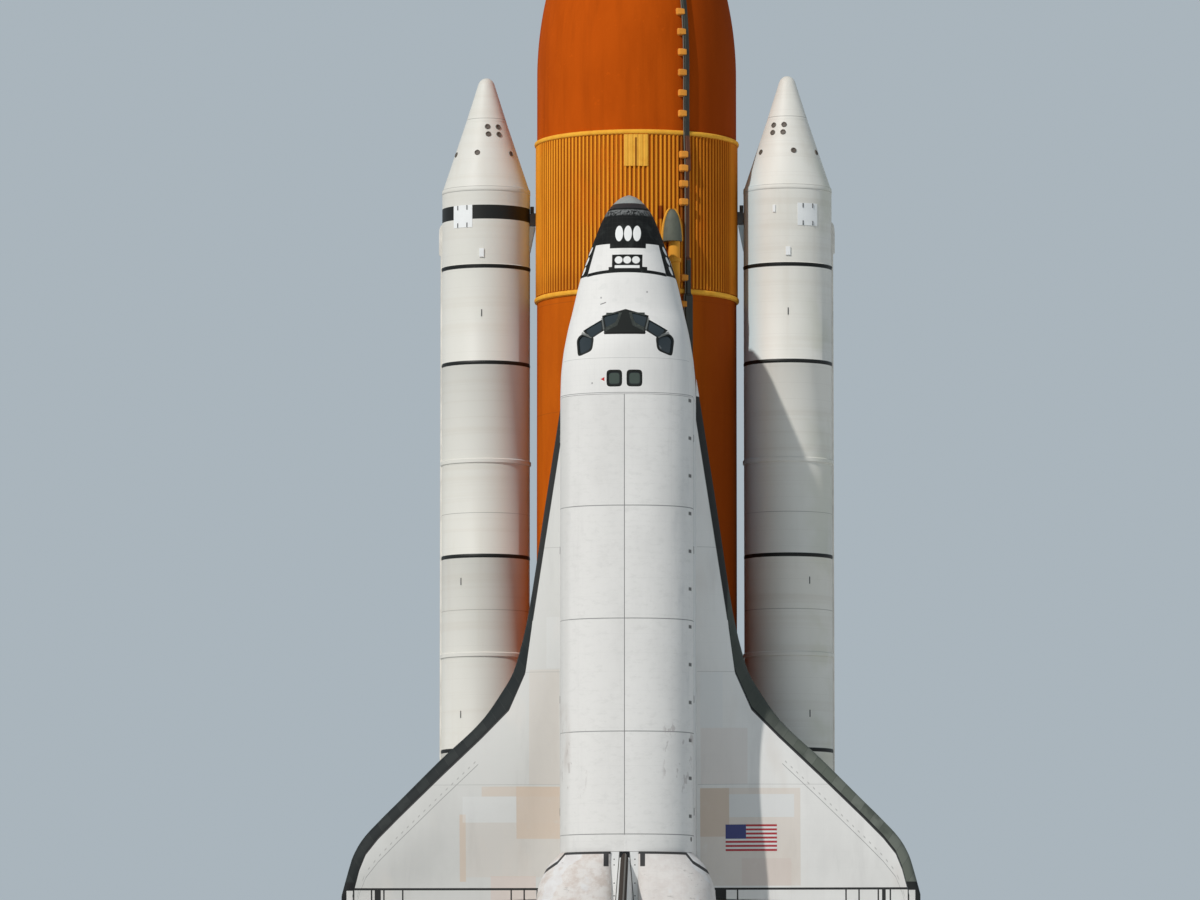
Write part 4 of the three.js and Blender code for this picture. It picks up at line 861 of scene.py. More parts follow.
def nose_motors(hand, side, here):
    """The dark mouths of the four motors on the nose, and the round fittings below them."""
    ring_grey = plain(f"{hand}_motor_cover", (0.13, 0.105, 0.085), 0.6)
    spots = Build()
    nose_radius = [(275, 34.1), (391, 72.8)]
    slope = math.atan2(72.8 - 34.1, 116)

    def spot(x, angle, size):
        r = along(nose_radius, x)
        out = Vector((-math.sin(slope), math.cos(slope) * math.sin(angle), math.cos(slope) * math.cos(angle)))
        centre = Vector(about(angle, r, x))
        across = Vector((0, math.cos(angle), -math.sin(angle)))
        down = out.cross(across)
        rows = []
        spokes = [across * math.cos(s) + down * math.sin(s) for s in circle(20)]
        for level, share in ((-1.5, 1), (0.7, 1), (0.9, 0.9), (0.9, 0.7), (-0.2, 0.6), (-0.2, 0.05)):
            rows.append([tuple(centre + out * level + spoke * size * share) for spoke in spokes])
        spots.grid(rows)

    facing = -math.radians(21) * side
    for x in (286, 299):
        for step in (-1, 1):
            spot(x, facing + step * 9.3 / along(nose_radius, x), 4.6)
    for degrees in (67, 12.7, -55):
        spot(331, math.radians(degrees) * side, 4.6)
    spots.piece(f"{hand}_nose_motors", ring_grey, **here)


def skirt_panels(hand, side, here):
    """The thin panels on the forward skirt."""
    panel = Look(f"{hand}_panel_white", (0.86, 0.87, 0.87), 0.45)
    panel.mottle((0.80, 0.81, 0.81), 0.5, 6, 3)
    plates = Build()

    def plate(x0, x1, angle, width, lift=0.6):
        half = width / 2 / CASE_RADIUS
        rows = []
        for x in (x0, x1):
            outer = [(a, CASE_RADIUS + lift) for a in np.linspace(angle - half, angle + half, 7)]
            inner = [(a, CASE_RADIUS - 0.6) for a in np.linspace(angle + half, angle - half, 7)]
            rows.append([about(a, r, x) for a, r in outer + inner])
        plates.grid(rows)

    plate(421, 458, math.radians(28.8) * side, 36.5)
    plate(494, 508, math.radians(2) * side, 7.5, 2.2)
    if side > 0:
        plate(424, 436, math.radians(-16), 4.5, 1.6)
    plates.piece(f"{hand}_skirt_panels", panel.done(), **here)


def case_marks(hand, side, here):
    """The hinges of the large panel and the short dark brackets down the case."""
    pins = Build()
    dark = plain(f"{hand}_panel_hinges", (0.10, 0.10, 0.10), 0.5)

    def lengthways(x, half, angle, lift):
        start, end = (about(angle, CASE_RADIUS + lift, x + step) for step in (-half, half))
        pins.rod(start, end, 0.9, sides=8)

    for x in (425, 454):
        for step in (-0.5, 0.5):
            lengthways(x, 3.6, math.radians(28.8) * side + step * 17.8 / CASE_RADIUS, 0.8)
    for x, degrees in ((601, 2), (1045, 30), (1264, 30)):
        lengthways(x, 5.8, math.radians(degrees) * side, 0.1)
    pins.piece(f"{hand}_case_marks", dark, **here)


def aft_skirt(hand, place):
    """The flared skirt with its ribs and its heat curtain."""
    paint = Look(f"{hand}_skirt_paint", (0.78, 0.74, 0.67), 0.55)
    soot = paint.noise(1.1, 5, (1, 1, 0.5))
    paint.paint(paint.ramp(soot, 0.45, 0.7), (0.66, 0.62, 0.55), 0.6)
    paint.paint(paint.ramp(paint.station(BOOSTER_STATION), 1900, 1932), (0.45, 0.41, 0.36), 0.35)
    paint.bump(paint.noise(5, 3), 0.002, 0.35)
    material = paint.done()
    base = SKIRT_BASE
    shell = Build()
    outline = [(0, 1837.05), (75, 1837.05), (75.5, 1838), (75.5, 1843), (75, 1844)]
    flare = (103.4 - 75.4) / (base - 9 - 1844)
    outline += [(75.4 + flare * (x - 1844), x) for x in (1860, 1880, 1900, base - 9)]
    outline += [(104, base - 8), (104.1, base - 7), (104.1, base - 1)]
    outline += [(103.6, base), (98.6, base), (98.5, base - 7)]
    outline += [(70, 1844.2), (34, 1844.2)]
    outline += [(34, 1864.8), (25, 1864.8), (23.8, 1861), (17.5, 1851.5), (9, 1845.8), (0, 1844)]
    shell.lathe(outline, 96)
    for k in range(24):
        a = (k + 0.5) / 24 * 2 * math.pi
        from_post = (math.degrees(a) - 45) % 90
        if min(from_post, 90 - from_post) < 9:
            continue
        rows = []
        for x, r in ((1848, 76), (base - 12, 101.8)):
            ring = []
            for da, dr in ((-0.9, -1), (0.9, -1), (0.6, 1.5), (-0.6, 1.5)):
                _, y, z = about(a, r + dr, x)
                ring.append((x, y + da * math.cos(a), z - da * math.sin(a)))
            rows.append(ring)
        shell.grid(rows)
    piece = shell.piece(f"{hand}_aft_skirt_shell", material, slot="booster_paint", place=place)
    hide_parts(f"{hand}_aft_skirt")

    hold_down_posts(hand, place)


def hold_down_posts(hand, place):
    """The four posts that the skirt is bolted to, with their studs."""
    base = SKIRT_BASE
    grey = plain(f"{hand}_post_paint", (0.42, 0.43, 0.42), 0.6, 0.1, bump=0.002)
    posts = Build()
    # Below the skirt's base: level, inner face, outer face, half width
    levels = [
        (-6, 96, 109, 9), (-0.4, 95.5, 110, 11), (3, 95, 112, 12), (6, 96, 112, 11), (20, 96, 116, 12.5),
        (56, 95.5, 129, 18.6), (62, 95, 132, 20.4), (66, 95, 133.9, 21.9), (72, 95, 133.9, 21.9),
    ]

    def turned(angle, x, out, across):
        cos, sin = math.cos(angle), math.sin(angle)
        return (x, out * cos - across * sin, out * sin + across * cos)

    def slab(angle, x, inner, outer, low, high):
        corners = ((inner, low), (outer, low), (outer, high), (inner, high))
        return [turned(angle, x, out, across) for out, across in corners]

    post_angles = [math.radians(degrees) for degrees in (45, 135, 225, 315)]
    for a in post_angles:
        posts.grid([slab(a, base + below, inner, outer, -half, half) for below, inner, outer, half in levels])
        for s in (-1, 1):
            rib_ends = ((base + 22, 118), (base + 64, 131.5))
            posts.grid([slab(a, x, outer - 8, outer + 1.2, s * 3.2, s * 6.2) for x, outer in rib_ends])
    posts.piece(f"{hand}_hold_down_posts", grey, slot="booster_paint", place=place)
    nuts = Build()
    for a in post_angles:
        for across in (-5, 5):
            x, y, z = turned(a, base + 3, 107, across)
            nuts.rod((base - 8, y * 0.985, z * 0.985), (x, y, z), 1.8, sides=12)
    steel = plain(f"{hand}_stud_steel", (0.30, 0.30, 0.30), 0.4, 0.7)
    nuts.piece(f"{hand}_post_studs", steel, slot="strut_steel", place=place)


def booster_nozzle(hand, place):
    """A booster's bell, on the body that tilts it."""
    p = BOOSTER_PIVOT
    look = Look(f"{hand}_bell_finish", (0.16, 0.145, 0.13), 0.6, 0.15)
    x = look.station(BOOSTER_STATION)
    look.paint(look.lines(x, 9, 0.8), (0.08, 0.075, 0.07), 0.5)
    look.mottle((0.11, 0.10, 0.09), 0.6, 4, 4)
    inner = [(71.6, 1989.6), (66, 1970), (56, 1944), (44, 1918), (32, 1897), (20, 1884), (0, 1881)]
    outer = [(0, p - 24)]
    outer += [(24 * math.cos(t), p - 24 * math.sin(t)) for t in np.radians([75, 60, 45, 30, 15, 0, -15])]
    outer += [(24, p + 14), (31, p + 22), (38, p + 34), (46, p + 47)]
    for at in np.linspace(1922, 1980, 8):
        swell = 1.5 * math.sin(math.pi * (at - 1916) / 73.6)
        outer.append((along([(1916, 46), (1989.6, 74.7)], at) + swell, at))
    outer += [(73.4, 1984.4), (74.7, 1985.6), (74.7, 1989.6)]
    body = f"{hand}_booster_nozzle"
    shell = Build().lathe(outer + inner, 80)
    piece = shell.piece(f"{hand}_bell", look.done(), body, "nozzle_metal", place=place)
    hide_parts(body)


# Orbiter body

HALF_WIDTH = 107
BELLY = 267
SILL = 414
ROOF = 500
CROWN = 2.25
# Station, half width, belly, shoulder, roof, corner radius of the belly
SECTIONS = [
    (236, 2, 335, 338, 341, 1),
    (240, 12, 325, 338, 353, 10),
    (249, 23, 309, 340, 369, 19),
    (262, 33.5, 297, 343, 386, 28),
    (280, 43, 289, 347, 401, 35),
    (300, 51, 282, 350, 412, 40),
    (340, 65.5, 275, 358, 430, 42),
    (380, 78, 271, 366, 442, 40),
    (420, 87, 269, 374, 452, 36),
    (434, 90, 268.5, 377, 457, 34),
    (456, 95, 268, 383, 475, 30),
    (478, 99, 267.5, 391, 491, 26),
    (505, 103, 267, 401, 498, 20),
    (540, 106, 267, 410, 500, 12),
    (576, 107, 267, 414, 500, 5),
]


def crown_point(half, shoulder, roof, t):
    """A point of the round upper side, from the shoulder at t = 0 to the roof at t = 1."""
    turn = math.pi / 2 * t
    return (half * max(0.0, math.cos(turn)) ** (2 / CROWN),
            shoulder + (roof - shoulder) * math.sin(turn) ** (2 / CROWN))


def column(table, k):
    """The first value of each row, with its value k."""
    return [(row[0], row[k]) for row in table]


def section_at(x):
    return [smooth_along(column(SECTIONS, k), x) for k in range(1, 6)]


def body_ring(x, inset=0.0, corner_steps=7, crown_steps=22):
    """The body's section at a station, or one that lies inside it by an inset."""
    half, belly, shoulder, roof, corner = section_at(x)
    h, low, high = half - inset, belly + inset, roof - inset
    r = max(0.5, min(corner - inset, h - 0.5))
    side = []
    for i in range(corner_steps + 1):
        turn = math.pi / 2 * i / corner_steps
        side.append((h - r + r * math.sin(turn), low + r - r * math.cos(turn)))
    base = max(shoulder, low + r + 0.5)
    for i in range(4):
        side.append((h, base - (base - low - r) * (1 - (i + 1) / 5)))
    for i in range(crown_steps):
        side.append(crown_point(h, base, high, i / crown_steps))
    back = [(-y, z) for y, z in reversed(side)]
    return [(x, y, z) for y, z in side + [(0, high)] + back]


def body_build(start, end, inset=0.0, step=6.0):
    xs = list(np.linspace(start, end, max(3, int((end - start) / step) + 1)))
    return Build().grid([body_ring(x, inset) for x in xs])


def rounded(outline, radius, steps=4):
    """An outline of (u, v) with its corners rounded."""
    result = []
    count = len(outline)
    for i, corner in enumerate(outline):
        p = Vector(corner)
        before, after = Vector(outline[i - 1]) - p, Vector(outline[(i + 1) % count]) - p
        r = min(radius, before.length * 0.45, after.length * 0.45)
        a, b = p + before.normalized() * r, p + after.normalized() * r
        for k in range(steps + 1):
            t = k / steps
            q = a * (1 - t) ** 2 + p * 2 * t * (1 - t) + b * t * t
            result.append((q.x, q.y))
    return result


def upright(outline, low, high):
    """A closed prism over an outline of (station, offset), between two levels."""
    return Build().grid([[(x, y, z) for x, y in outline] for z in (low, high)])


# Windows, each an outline of (station, offset)
WINDSHIELD = [
    [(441, 10), (447.5, 35), (467.5, 31), (458, 15)],
    [(454.5, 38.5), (469.5, 65), (484, 54.5), (471.5, 36.5)],
    [(479, 70), (484.5, 52.5), (503, 55), (510.5, 73), (486, 75.5)],
]
PANE_RADII = (3.0, 4.0, 6.5)
ROOF_WINDOW = [(540, 6), (540, 26.5), (562, 26.5), (562, 6)]
# The crew hatch's station and level, and its radius
HATCH = (507, 352)
HATCH_RADIUS = 20
CABIN_WALL = 8


def middle_of(outline):
    return [sum(p[k] for p in outline) / len(outline) for k in (0, 1)]


def shrunk(outline, by):
    middle = middle_of(outline)
    return [tuple(v - math.copysign(by, v - m) for v, m in zip(p, middle)) for p in outline]


def sided(outline, side):
    return [(x, y * side) for x, y in outline]


def tile_white(name, base=(0.80, 0.785, 0.765)):
    """White blankets and tiles, with a faint grid and grey weathering."""
    look = Look(name, base, 0.75, 0, 0.12)
    soil = look.noise(0.9, 5, (1, 1, 0.45), 0.6)
    look.paint(look.ramp(soil, 0.42, 0.72), toned(base, 0.90), 0.7)
    look.mottle(toned(base, 0.80), 0.45, 2.5, 5, (1, 1, 0.12), 0.65, 4.0, between=(0.52, 0.78))
    look.rough(soil, 0.6, 0.8)
    return look


def grid_lines(look, u, v, pitch, colour, share, width=0.5):
    """The joints of tiles or blankets, as thin lines both ways."""
    mask = look.either(look.lines(u, pitch, width), look.lines(v, pitch, width))
    look.paint(mask, colour, share)
    return mask


def body_look():
    """The nose's black and white tiles, the thrusters' covers, the window frames and the black belly."""
    look = tile_white("body_tiles")
    x, y, _, _ = look.orbiter()
    grid = grid_lines(look, x, y, 8, (0.64, 0.64, 0.63), 0.22, 0.30)
    tiles = look.both(look.blots(0.60, 0.66, 3.5, 2, (1, 1, 1), 0.5, 11), look.under(x, 420, 436))
    look.paint(tiles, (0.68, 0.68, 0.66), 0.35)
    black_tiles(look, grid)
    thruster_covers(look)
    window_frames(look)
    body_marks(look)
    look.relief(grid, 0.6, 12)
    return look.done()


def black_tiles(look, grid):
    """The belly and the nose's black blocks, with the joints of their tiles."""
    x, y, z, across = look.orbiter()
    belly_line = look.scaled(x, 345, 296, 377, 500)
    below = look.ramp(look.math("SUBTRACT", belly_line, z), -0.4, 0.4)
    edge = look.math("MULTIPLY_ADD", x, -0.25, across)
    chine = look.both(look.band(x, 300, 377, 0.6), look.ramp(edge, -30.9, -30.1))
    front = look.under(x, 324.6, 325.2)
    centre_block = look.both(look.under(x, 332.4, 333.0), look.band(y, -27, 31, 0.5))
    ring_x = look.math("SUBTRACT", x, look.math("MULTIPLY", look.math("MULTIPLY", across, across), 0.0011))
    line = look.both(look.band(ring_x, 368.2, 373.6, 0.5), look.under(edge, -30.9, -30.1))
    step = look.both(look.band(x, 364.2, 373.0, 0.5), look.band(y, -28.4, 33.8, 0.5))
    frame_box = look.both(look.band(x, 343.6, 368.0, 0.4), look.band(y, -23, 26, 0.4))
    dark = look.either(below, chine, front, centre_block, line, step, frame_box)
    tone = look.noise(5, 3, (1, 1, 1), 0.5, 2)
    look.paint(dark, (0.010, 0.011, 0.011))
    look.paint(look.both(dark, look.ramp(tone, 0.5, 0.7)), (0.028, 0.031, 0.030), 0.7)
    look.paint(look.both(dark, grid), (0.032, 0.034, 0.034), 0.6)
    streaks = look.blots(0.3, 0.75, 30, 0, (1, 1, 0.02), 0.5, 6)
    look.paint(look.both(look.band(x, 265.5, 275, 3.5), streaks), (0.30, 0.31, 0.31), 0.55)
    look.paint(look.band(x, 265.5, 267, 0.8), (0.30, 0.31, 0.31), 0.45)


def thruster_covers(look):
    """White covers over the thrusters: three ovals, three discs with a bar, and those on the sides."""
    x, y, z, across = look.orbiter()
    discs = (-12.3, 1.5, 15.6)
    covers = [look.oval(x, y, (307.5, at), (13.4, 6.3), 0.35) for at in (-12.3, 1.9, 16.4)]
    covers += [look.oval(x, y, (352.7, at), (6.1, 6.3), 0.3) for at in discs]
    covers.append(look.both(look.band(x, 361.6, 366.4, 0.3), look.band(y, -18.5, 21.5, 0.3)))
    covers += [look.both(look.oval(x, z, (at, level), (7.2, 6.0), 0.3), look.ramp(across, 40, 41))
               for at, level in ((333, 383), (350, 388), (366, 391), (350, 364))]
    look.paint(look.either(*covers), (0.83, 0.83, 0.82))
    rings = []
    for at in discs:
        outside = look.math("SUBTRACT", 1.0, look.oval(x, y, (352.7, at), (5.5, 5.7), 0.2))
        rings.append(look.both(look.oval(x, y, (352.7, at), (6.3, 6.5), 0.2), outside))
    look.paint(look.either(*rings), (0.55, 0.55, 0.54), 0.6)


def window_frames(look):
    """Dark frames about the windows and the plate between the front ones."""
    x, _, z, across = look.orbiter()

    def slanted(points, grow=0.0, soft=0.01):
        """1 inside a convex outline of (station, offset); grow widens it and soft rounds its corners."""
        mask = None
        centre = middle_of(points)
        for a, b in zip(points, points[1:] + points[:1]):
            nx, ny = b[1] - a[1], a[0] - b[0]
            size = math.hypot(nx, ny)
            nx, ny = nx / size, ny / size
            if (centre[0] - a[0]) * nx + (centre[1] - a[1]) * ny < 0:
                nx, ny = -nx, -ny
            inward = look.math("MULTIPLY_ADD", across, ny, -(a[0] * nx + a[1] * ny) + grow)
            inward = look.math("ADD", look.math("MULTIPLY", x, nx), inward)
            mask = inward if mask is None else look.math("SMOOTH_MIN", mask, inward, soft)
        return look.ramp(mask, -0.25, 0.25)

    above = look.ramp(z, 430, 436)
    frames = look.either(
        slanted([(435, -1), (435.2, 1), (446.3, 37.5), (478.8, 32.5), (478.8, -1)]),
        slanted([(453, 36), (453.6, 38.5), (470.8, 68), (486.5, 55.5), (472.5, 33)]),
        slanted([(476.5, 70), (483, 50.5), (504.5, 53.2), (512.5, 74.6), (484, 77.5)], 1.2, 9.0),
    )
    look.paint(look.both(frames, above), (0.019, 0.021, 0.020))
    joints = look.either(slanted([(449.5, 36.4), (470.5, 32.6), (471.3, 35), (450.5, 38.6)]),
                         slanted([(472.5, 69), (481.5, 52.5), (484.6, 54), (476.2, 71)]))
    look.paint(look.both(joints, above), (0.15, 0.16, 0.155), 0.8)
    plate = slanted([(441, -1), (441, 5.5), (464, 12.5), (474, 31), (477.5, 31), (477.5, -1)])
    look.paint(look.both(plate, above), (0.042, 0.048, 0.044))
    look.paint(look.both(plate, above, look.blots(0.5, 0.62, 22, 3)), (0.075, 0.085, 0.078), 0.6)
    sill = slanted([(476, -1), (476, 34), (479, 32.5), (479, -1)])
    look.paint(look.both(sill, above), (0.012, 0.012, 0.012))
    look.paint(look.both(look.tile(x, across, (550.8, 16.1), (13.6, 12.6)), above), (0.016, 0.018, 0.016))


def body_marks(look):
    """Chips, a nick, two seams, the hatch's rim and a small red mark."""
    x, y, z, _ = look.orbiter()
    above = look.ramp(z, 430, 436)
    places = ((420, -70), (406, 34), (386, 53), (558, -52), (415, -40))
    spots = [look.oval(x, y, place, (1.6, 1.3), 0.6) for place in places]
    look.paint(look.both(look.either(*spots), above), (0.22, 0.21, 0.21), 0.7)
    nick = look.math("ABSOLUTE", look.math("SUBTRACT", x, look.math("MULTIPLY_ADD", y, -0.32, 413.0)))
    nick = look.both(look.under(nick, 0.5, 1.1), look.band(y, -41, -32, 0.8))
    look.paint(look.both(nick, above), (0.06, 0.06, 0.06), 0.85)
    look.paint(look.both(look.band(x, 517.4, 518.2, 0.3), above), (0.42, 0.42, 0.41), 0.6)
    look.paint(look.band(x, 573.2, 574.4, 0.3), (0.25, 0.25, 0.25), 0.8)
    rim = look.band(look.distance(x, z, HATCH), 20, 22.4, 0.3)
    look.paint(look.both(rim, look.under(y, -80, -78)), (0.06, 0.06, 0.06), 0.9)
    beside = look.math("ABSOLUTE", look.math("SUBTRACT", x, 552.0))
    wedge = look.math("SUBTRACT", look.math("MULTIPLY_ADD", y, 0.52, 38.5 * 0.52), beside)
    mark = look.both(look.ramp(wedge, -0.1, 0.3), look.under(y, -32.2, -31.8), above)
    look.paint(mark, (0.55, 0.03, 0.03))


def hatch_rod(start, end, radius, end_radius=None):
    """A round bar along the crew hatch's axis, between two offsets."""
    ends = [(HATCH[0], y, HATCH[1]) for y in (start, end)]
    return Build().rod(*ends, radius, end_radius, sides=64)


def forward_body(material):
    shell = body_build(262, 575.95).piece("nose_section", material, **TILES)
    room = [body_ring(x, CABIN_WALL) for x in np.linspace(437, 562, 26)]
    rows = [[(x, y, max(z, 306.0)) for x, y, z in ring] for ring in room]
    cutters = [cutter(Build().grid(rows))]
    for side in (-1, 1):
        for pane, radius in zip(WINDSHIELD, PANE_RADII):
            cutters.append(cutter(upright(rounded(sided(pane, side), radius), 428, 520)))
        cutters.append(cutter(upright(rounded(sided(ROOF_WINDOW, side), 7.5), 480, 520)))
    cutters.append(cutter(hatch_rod(-125, -60, HATCH_RADIUS)))
    cut(shell, cutters)
    soften(shell)
    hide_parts("forward_fuselage")

    cap = Look("nose_cap_grey", (0.32, 0.35, 0.34), 0.55, 0, 0.4)
    x = cap.station(ORBITER_STATION)
    cap.paint(cap.ramp(x, 252.6, 253.6), (0.022, 0.023, 0.025))
    cap.paint(cap.both(cap.blots(0.4, 0.7, 9, 4), cap.under(x, 252, 253)), (0.24, 0.26, 0.26), 0.4)
    xs = [236, 236.4, 237, 238, 239.2, 240.6, 242.4, 245, 248, 252, 256.5, 261.95]
    nose = Build().grid([body_ring(x) for x in xs])
    nose = nose.piece("nose_shell", cap.done(), **CARBON, sharp=60)
    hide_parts("nose_cap")


def window_glass():
    """Panes that follow the body's curve, the roof's ones with a dark rim."""
    pane = Look("window_pane", (0.024, 0.033, 0.038), 0.06, 0, 0.6)
    pane.shader.inputs["Coat Weight"].default_value = 0.4
    glass = pane.done()
    roof = Look("roof_pane", (0.055, 0.075, 0.06), 0.08, 0, 0.6)
    x, _, _, across = roof.orbiter()
    roof.mottle((0.08, 0.10, 0.08), 0.5, 2, 2)
    rim = roof.math("SUBTRACT", 1.0, roof.tile(x, across, (551, 16.25), (8.6, 8.2), 1.2))
    roof.paint(rim, (0.012, 0.014, 0.012))
    windows = (
        ("windshield_panes", WINDSHIELD, PANE_RADII, 428, glass, "windshield"),
        ("roof_panes", [ROOF_WINDOW], (7.3,), 480, roof.done(), "roof_windows"),
    )
    for name, outlines, radii, low, material, node in windows:
        layer = body_build(420, 574, 1.6, 4).piece(name, material, slot="window_glass", place=on_orbiter)
        cut(layer, [cutter(body_build(416, 578, 3.4, 4))])
        prisms = Build()
        for side in (-1, 1):
            for opening, radius in zip(outlines, radii):
                outline = rounded(sided(shrunk(opening, 0.15), side), radius)
                prisms.grid([[(x, y, z) for x, y in outline] for z in (low, 521)])
        cut(layer, [cutter(prisms)], "INTERSECT")
        soften(layer)
        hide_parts(node)


def door_arc(inset, start, end, count):
    """Points round a door's section, inside its outer face by an inset."""
    return [crown_point(HALF_WIDTH - inset, SILL, ROOF - inset, t) for t in np.linspace(start, end, count)]


# White of each door; the left door's is darker, as painted shade
DOOR_WHITE_AND_SHADE = {"left": (0.765, 0.75, 0.73), "right": (0.80, 0.785, 0.765)}


def door_look(hand, side):
    """White blankets with their seams, the hinge covers, the scuffs and painted shade on the left door."""
    look = tile_white(f"{hand}_door_blankets", DOOR_WHITE_AND_SHADE[hand])
    x, y, z, across = look.orbiter()
    quilt = look.either(look.lines(x, 30, 0.5), look.lines(z, 24, 0.5))
    look.paint(quilt, (0.64, 0.63, 0.61), 0.22)
    dirt = look.noise(4.5, 6, (1, 1, 2.2), 0.75, 71 + side)
    look.paint(look.ramp(dirt, 0.48, 0.72), (0.60, 0.59, 0.57), 0.35)
    seams = look.bands(x, (754.6, 935.2, 1115.3, 1279), 0.7, 0.3)
    look.paint(seams, (0.20, 0.20, 0.20), 0.85)
    tabs = look.both(look.lines(x, 60.6, 5.5, 1188), look.band(y, 100.5, 104.5, 0.8))
    look.paint(tabs, (0.05, 0.048, 0.045), 0.85)
    scuff = look.both(look.blots(0.55, 0.72, 2.2, 4, (1, 1, 0.3), 0.6, 17), look.ramp(across, 66, 84))
    look.paint(scuff, (0.60, 0.60, 0.60), 0.4)
    stain = look.blots(0.60, 0.66, 5.5, 3, (1, 1, 0.5), 0.6, 23 + side)
    worn = look.both(stain, look.band(x, 1100, 1215, 20), look.ramp(across, 58, 66))
    look.paint(worn, (0.42, 0.37, 0.36), 0.5)
    if side < 0:
        soil = look.blots(0.35, 0.6, 1.6, 4, (1, 1, 0.5), 0.6, 31)
        soil = look.both(soil, look.band(x, 1075, 1170, 30), look.ramp(across, 84, 99))
        look.paint(soil, (0.50, 0.42, 0.38), 0.6)
        # Painted shade: a grey band along the left door's outer edge
        look.paint(look.ramp(across, 86, 95), (0.60, 0.59, 0.56), 0.35)
    else:
        look.paint(look.oval(x, z, (1285, 440), (4, 3.4), 0.5), (0.03, 0.03, 0.03), 0.9)
    ends = look.under(x, 1279, 1280)
    middle = look.both(look.under(across, 0.6, 0.9), ends)
    look.paint(middle, (0.32, 0.32, 0.32), 0.7)
    look.relief(look.either(quilt, seams), 0.8, 10)
    return look.done()


def doors():
    for hand, side in HANDS.items():
        ring = door_arc(0, 0, 1, 40) + door_arc(7, 1, 0, 40)
        ring = [(max(a, 0.23), max(b, SILL + 0.46)) for a, b in ring]
        rows = [[(x, side * a, b) for a, b in ring] for x in np.linspace(576.46, 1306.54, 49)]
        shell = Build().grid(rows)
        if side > 0:
            shell.box((1280.5, 1306.4), (-0.7, 2.5), (499.6, 500.3))
        material = door_look(hand, side)
        door = shell.piece(f"{hand}_door_shell", material, f"{hand}_payload_door", sharp=30, **TILES)
        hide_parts(f"{hand}_payload_door")
        radiators(hand, side)


def radiators(hand, side):
    """Four silver panels under a door."""
    silver = Look(f"{hand}_radiator_silver", (0.62, 0.64, 0.65), 0.22, 0.75)
    sx = silver.station(ORBITER_STATION)
    silver.paint(silver.lines(sx, 7.5, 0.5), (0.42, 0.44, 0.45), 0.5)
    silver.mottle((0.52, 0.54, 0.56), 0.5, 1.5, 3)
    panels = Build()
    for k in range(4):
        start = 582 + k * 181
        ring = door_arc(7.15, 0.1, 0.93, 24) + door_arc(8.6, 0.93, 0.1, 24)
        panels.grid([[(x, side * a, b) for a, b in ring] for x in (start, start + 174)])
    panels.piece(f"{hand}_radiators", silver.done(), f"{hand}_payload_door", sharp=30, **TILES)


# Orbiter: payload bay, aft body, wings and tail

# Offset, station of the leading edge, depth
WING_SECTIONS = [
    (107.1, 530.5, 56), (120, 613, 52), (140, 742, 48), (167.4, 919, 44), (181, 977, 42), (191, 1008, 41),
    (208, 1038, 39), (241, 1085, 35), (308, 1149, 29), (375, 1216, 23), (408, 1249, 20), (435, 1279, 17),
    (450, 1306, 15), (460, 1339, 12), (467.8, 1368, 9),
]
# Offset and station of the seam behind the leading edge
CARBON_SEAM = [
    (157.6, 920), (169.6, 1007.5), (196.2, 1067.7), (241.2, 1113), (308.2, 1176.6), (375.3, 1242),
    (408.3, 1275.5), (428.3, 1300.6), (438.5, 1325.7), (450, 1369.4), (451, 1400),
]
# Offset and half the depth at the elevons' hinge
HINGE_HALF = [(107, 12.2), (312, 7.5), (468, 4)]
# How far the wing's underside rises for each inch outboard
WING_RISE = 0.061
ELEVON_HINGE = 1387
ELEVON_SPANS = {"inboard": (116, 309), "outboard": (314, 466.5)}
# Station, half width, shoulder, roof
AFT_SECTIONS = [(1307, 107, 414, 500), (1400, 108.5, 414, 500), (1490, 111, 412, 500), (1540, 113, 410, 500)]
# Name, place of the gimbal, and how far the axis leans up and outward in degrees
ENGINES = (
    ("upper", (1445, 0, 443), 16, 0),
    ("left", (1468.17, -53, 342.64), 10, -3.5),
    ("right", (1468.17, 53, 342.64), 10, 3.5),
)
# The aft body's base leans by this angle, and lies this far along the lean
BASE_SLOPE = math.radians(13)
BASE_REACH = 1545.6
BLACK = (0.020, 0.021, 0.023)


def lower_surface(y):
    return BELLY + 0.5 + WING_RISE * (y - HALF_WIDTH)


def hinge_level(y):
    return lower_surface(y) + 1.5 + along(HINGE_HALF, y)


def wing_ring(y, front, thickness, shares):
    half = along(HINGE_HALF, y)
    back = ELEVON_HINGE - half - 0.45
    low = lower_surface(y)
    nose = low + thickness * 0.3

    def bulge(t):
        return math.sqrt(max(0.0, 1 - (1 - min(1, t)) ** 2))

    def upper(s):
        if s < 0.45:
            return nose + (low + thickness - nose) * bulge(s / 0.45)
        t = (s - 0.45) / 0.55
        t = t * t * (3 - 2 * t)
        return low + thickness + (hinge_level(y) + half - low - thickness) * t

    def lower(s):
        if s < 0.2:
            return nose + (low - nose) * bulge(s / 0.2)
        return low + (hinge_level(y) - half - low) * (s - 0.2) / 0.8

    top = [(front + (back - front) * s, y, upper(s)) for s in shares]
    bottom = [(front + (back - front) * s, y, lower(s)) for s in reversed(shares[1:])]
    return top + bottom


def wing_build(side):
    shares = [0, 0.002, 0.008, 0.018, 0.035, 0.06, 0.09, 0.13, 0.18, 0.24, 0.31, 0.38]
    shares += [0.45, 0.54, 0.63, 0.72, 0.81, 0.9, 1]
    offsets = [*np.linspace(107.1, 467.8, 70), *(row[0] for row in WING_SECTIONS)]
    offsets = sorted({round(y, 2) for y in offsets})
    fronts, depths = column(WING_SECTIONS, 1), column(WING_SECTIONS, 2)
    rows = []
    for y in offsets:
        ring = wing_ring(y, smooth_along(fronts, y), smooth_along(depths, y), shares)
        rows.append([(x, v * side, z) for x, v, z in ring])
    return Build().grid(rows)


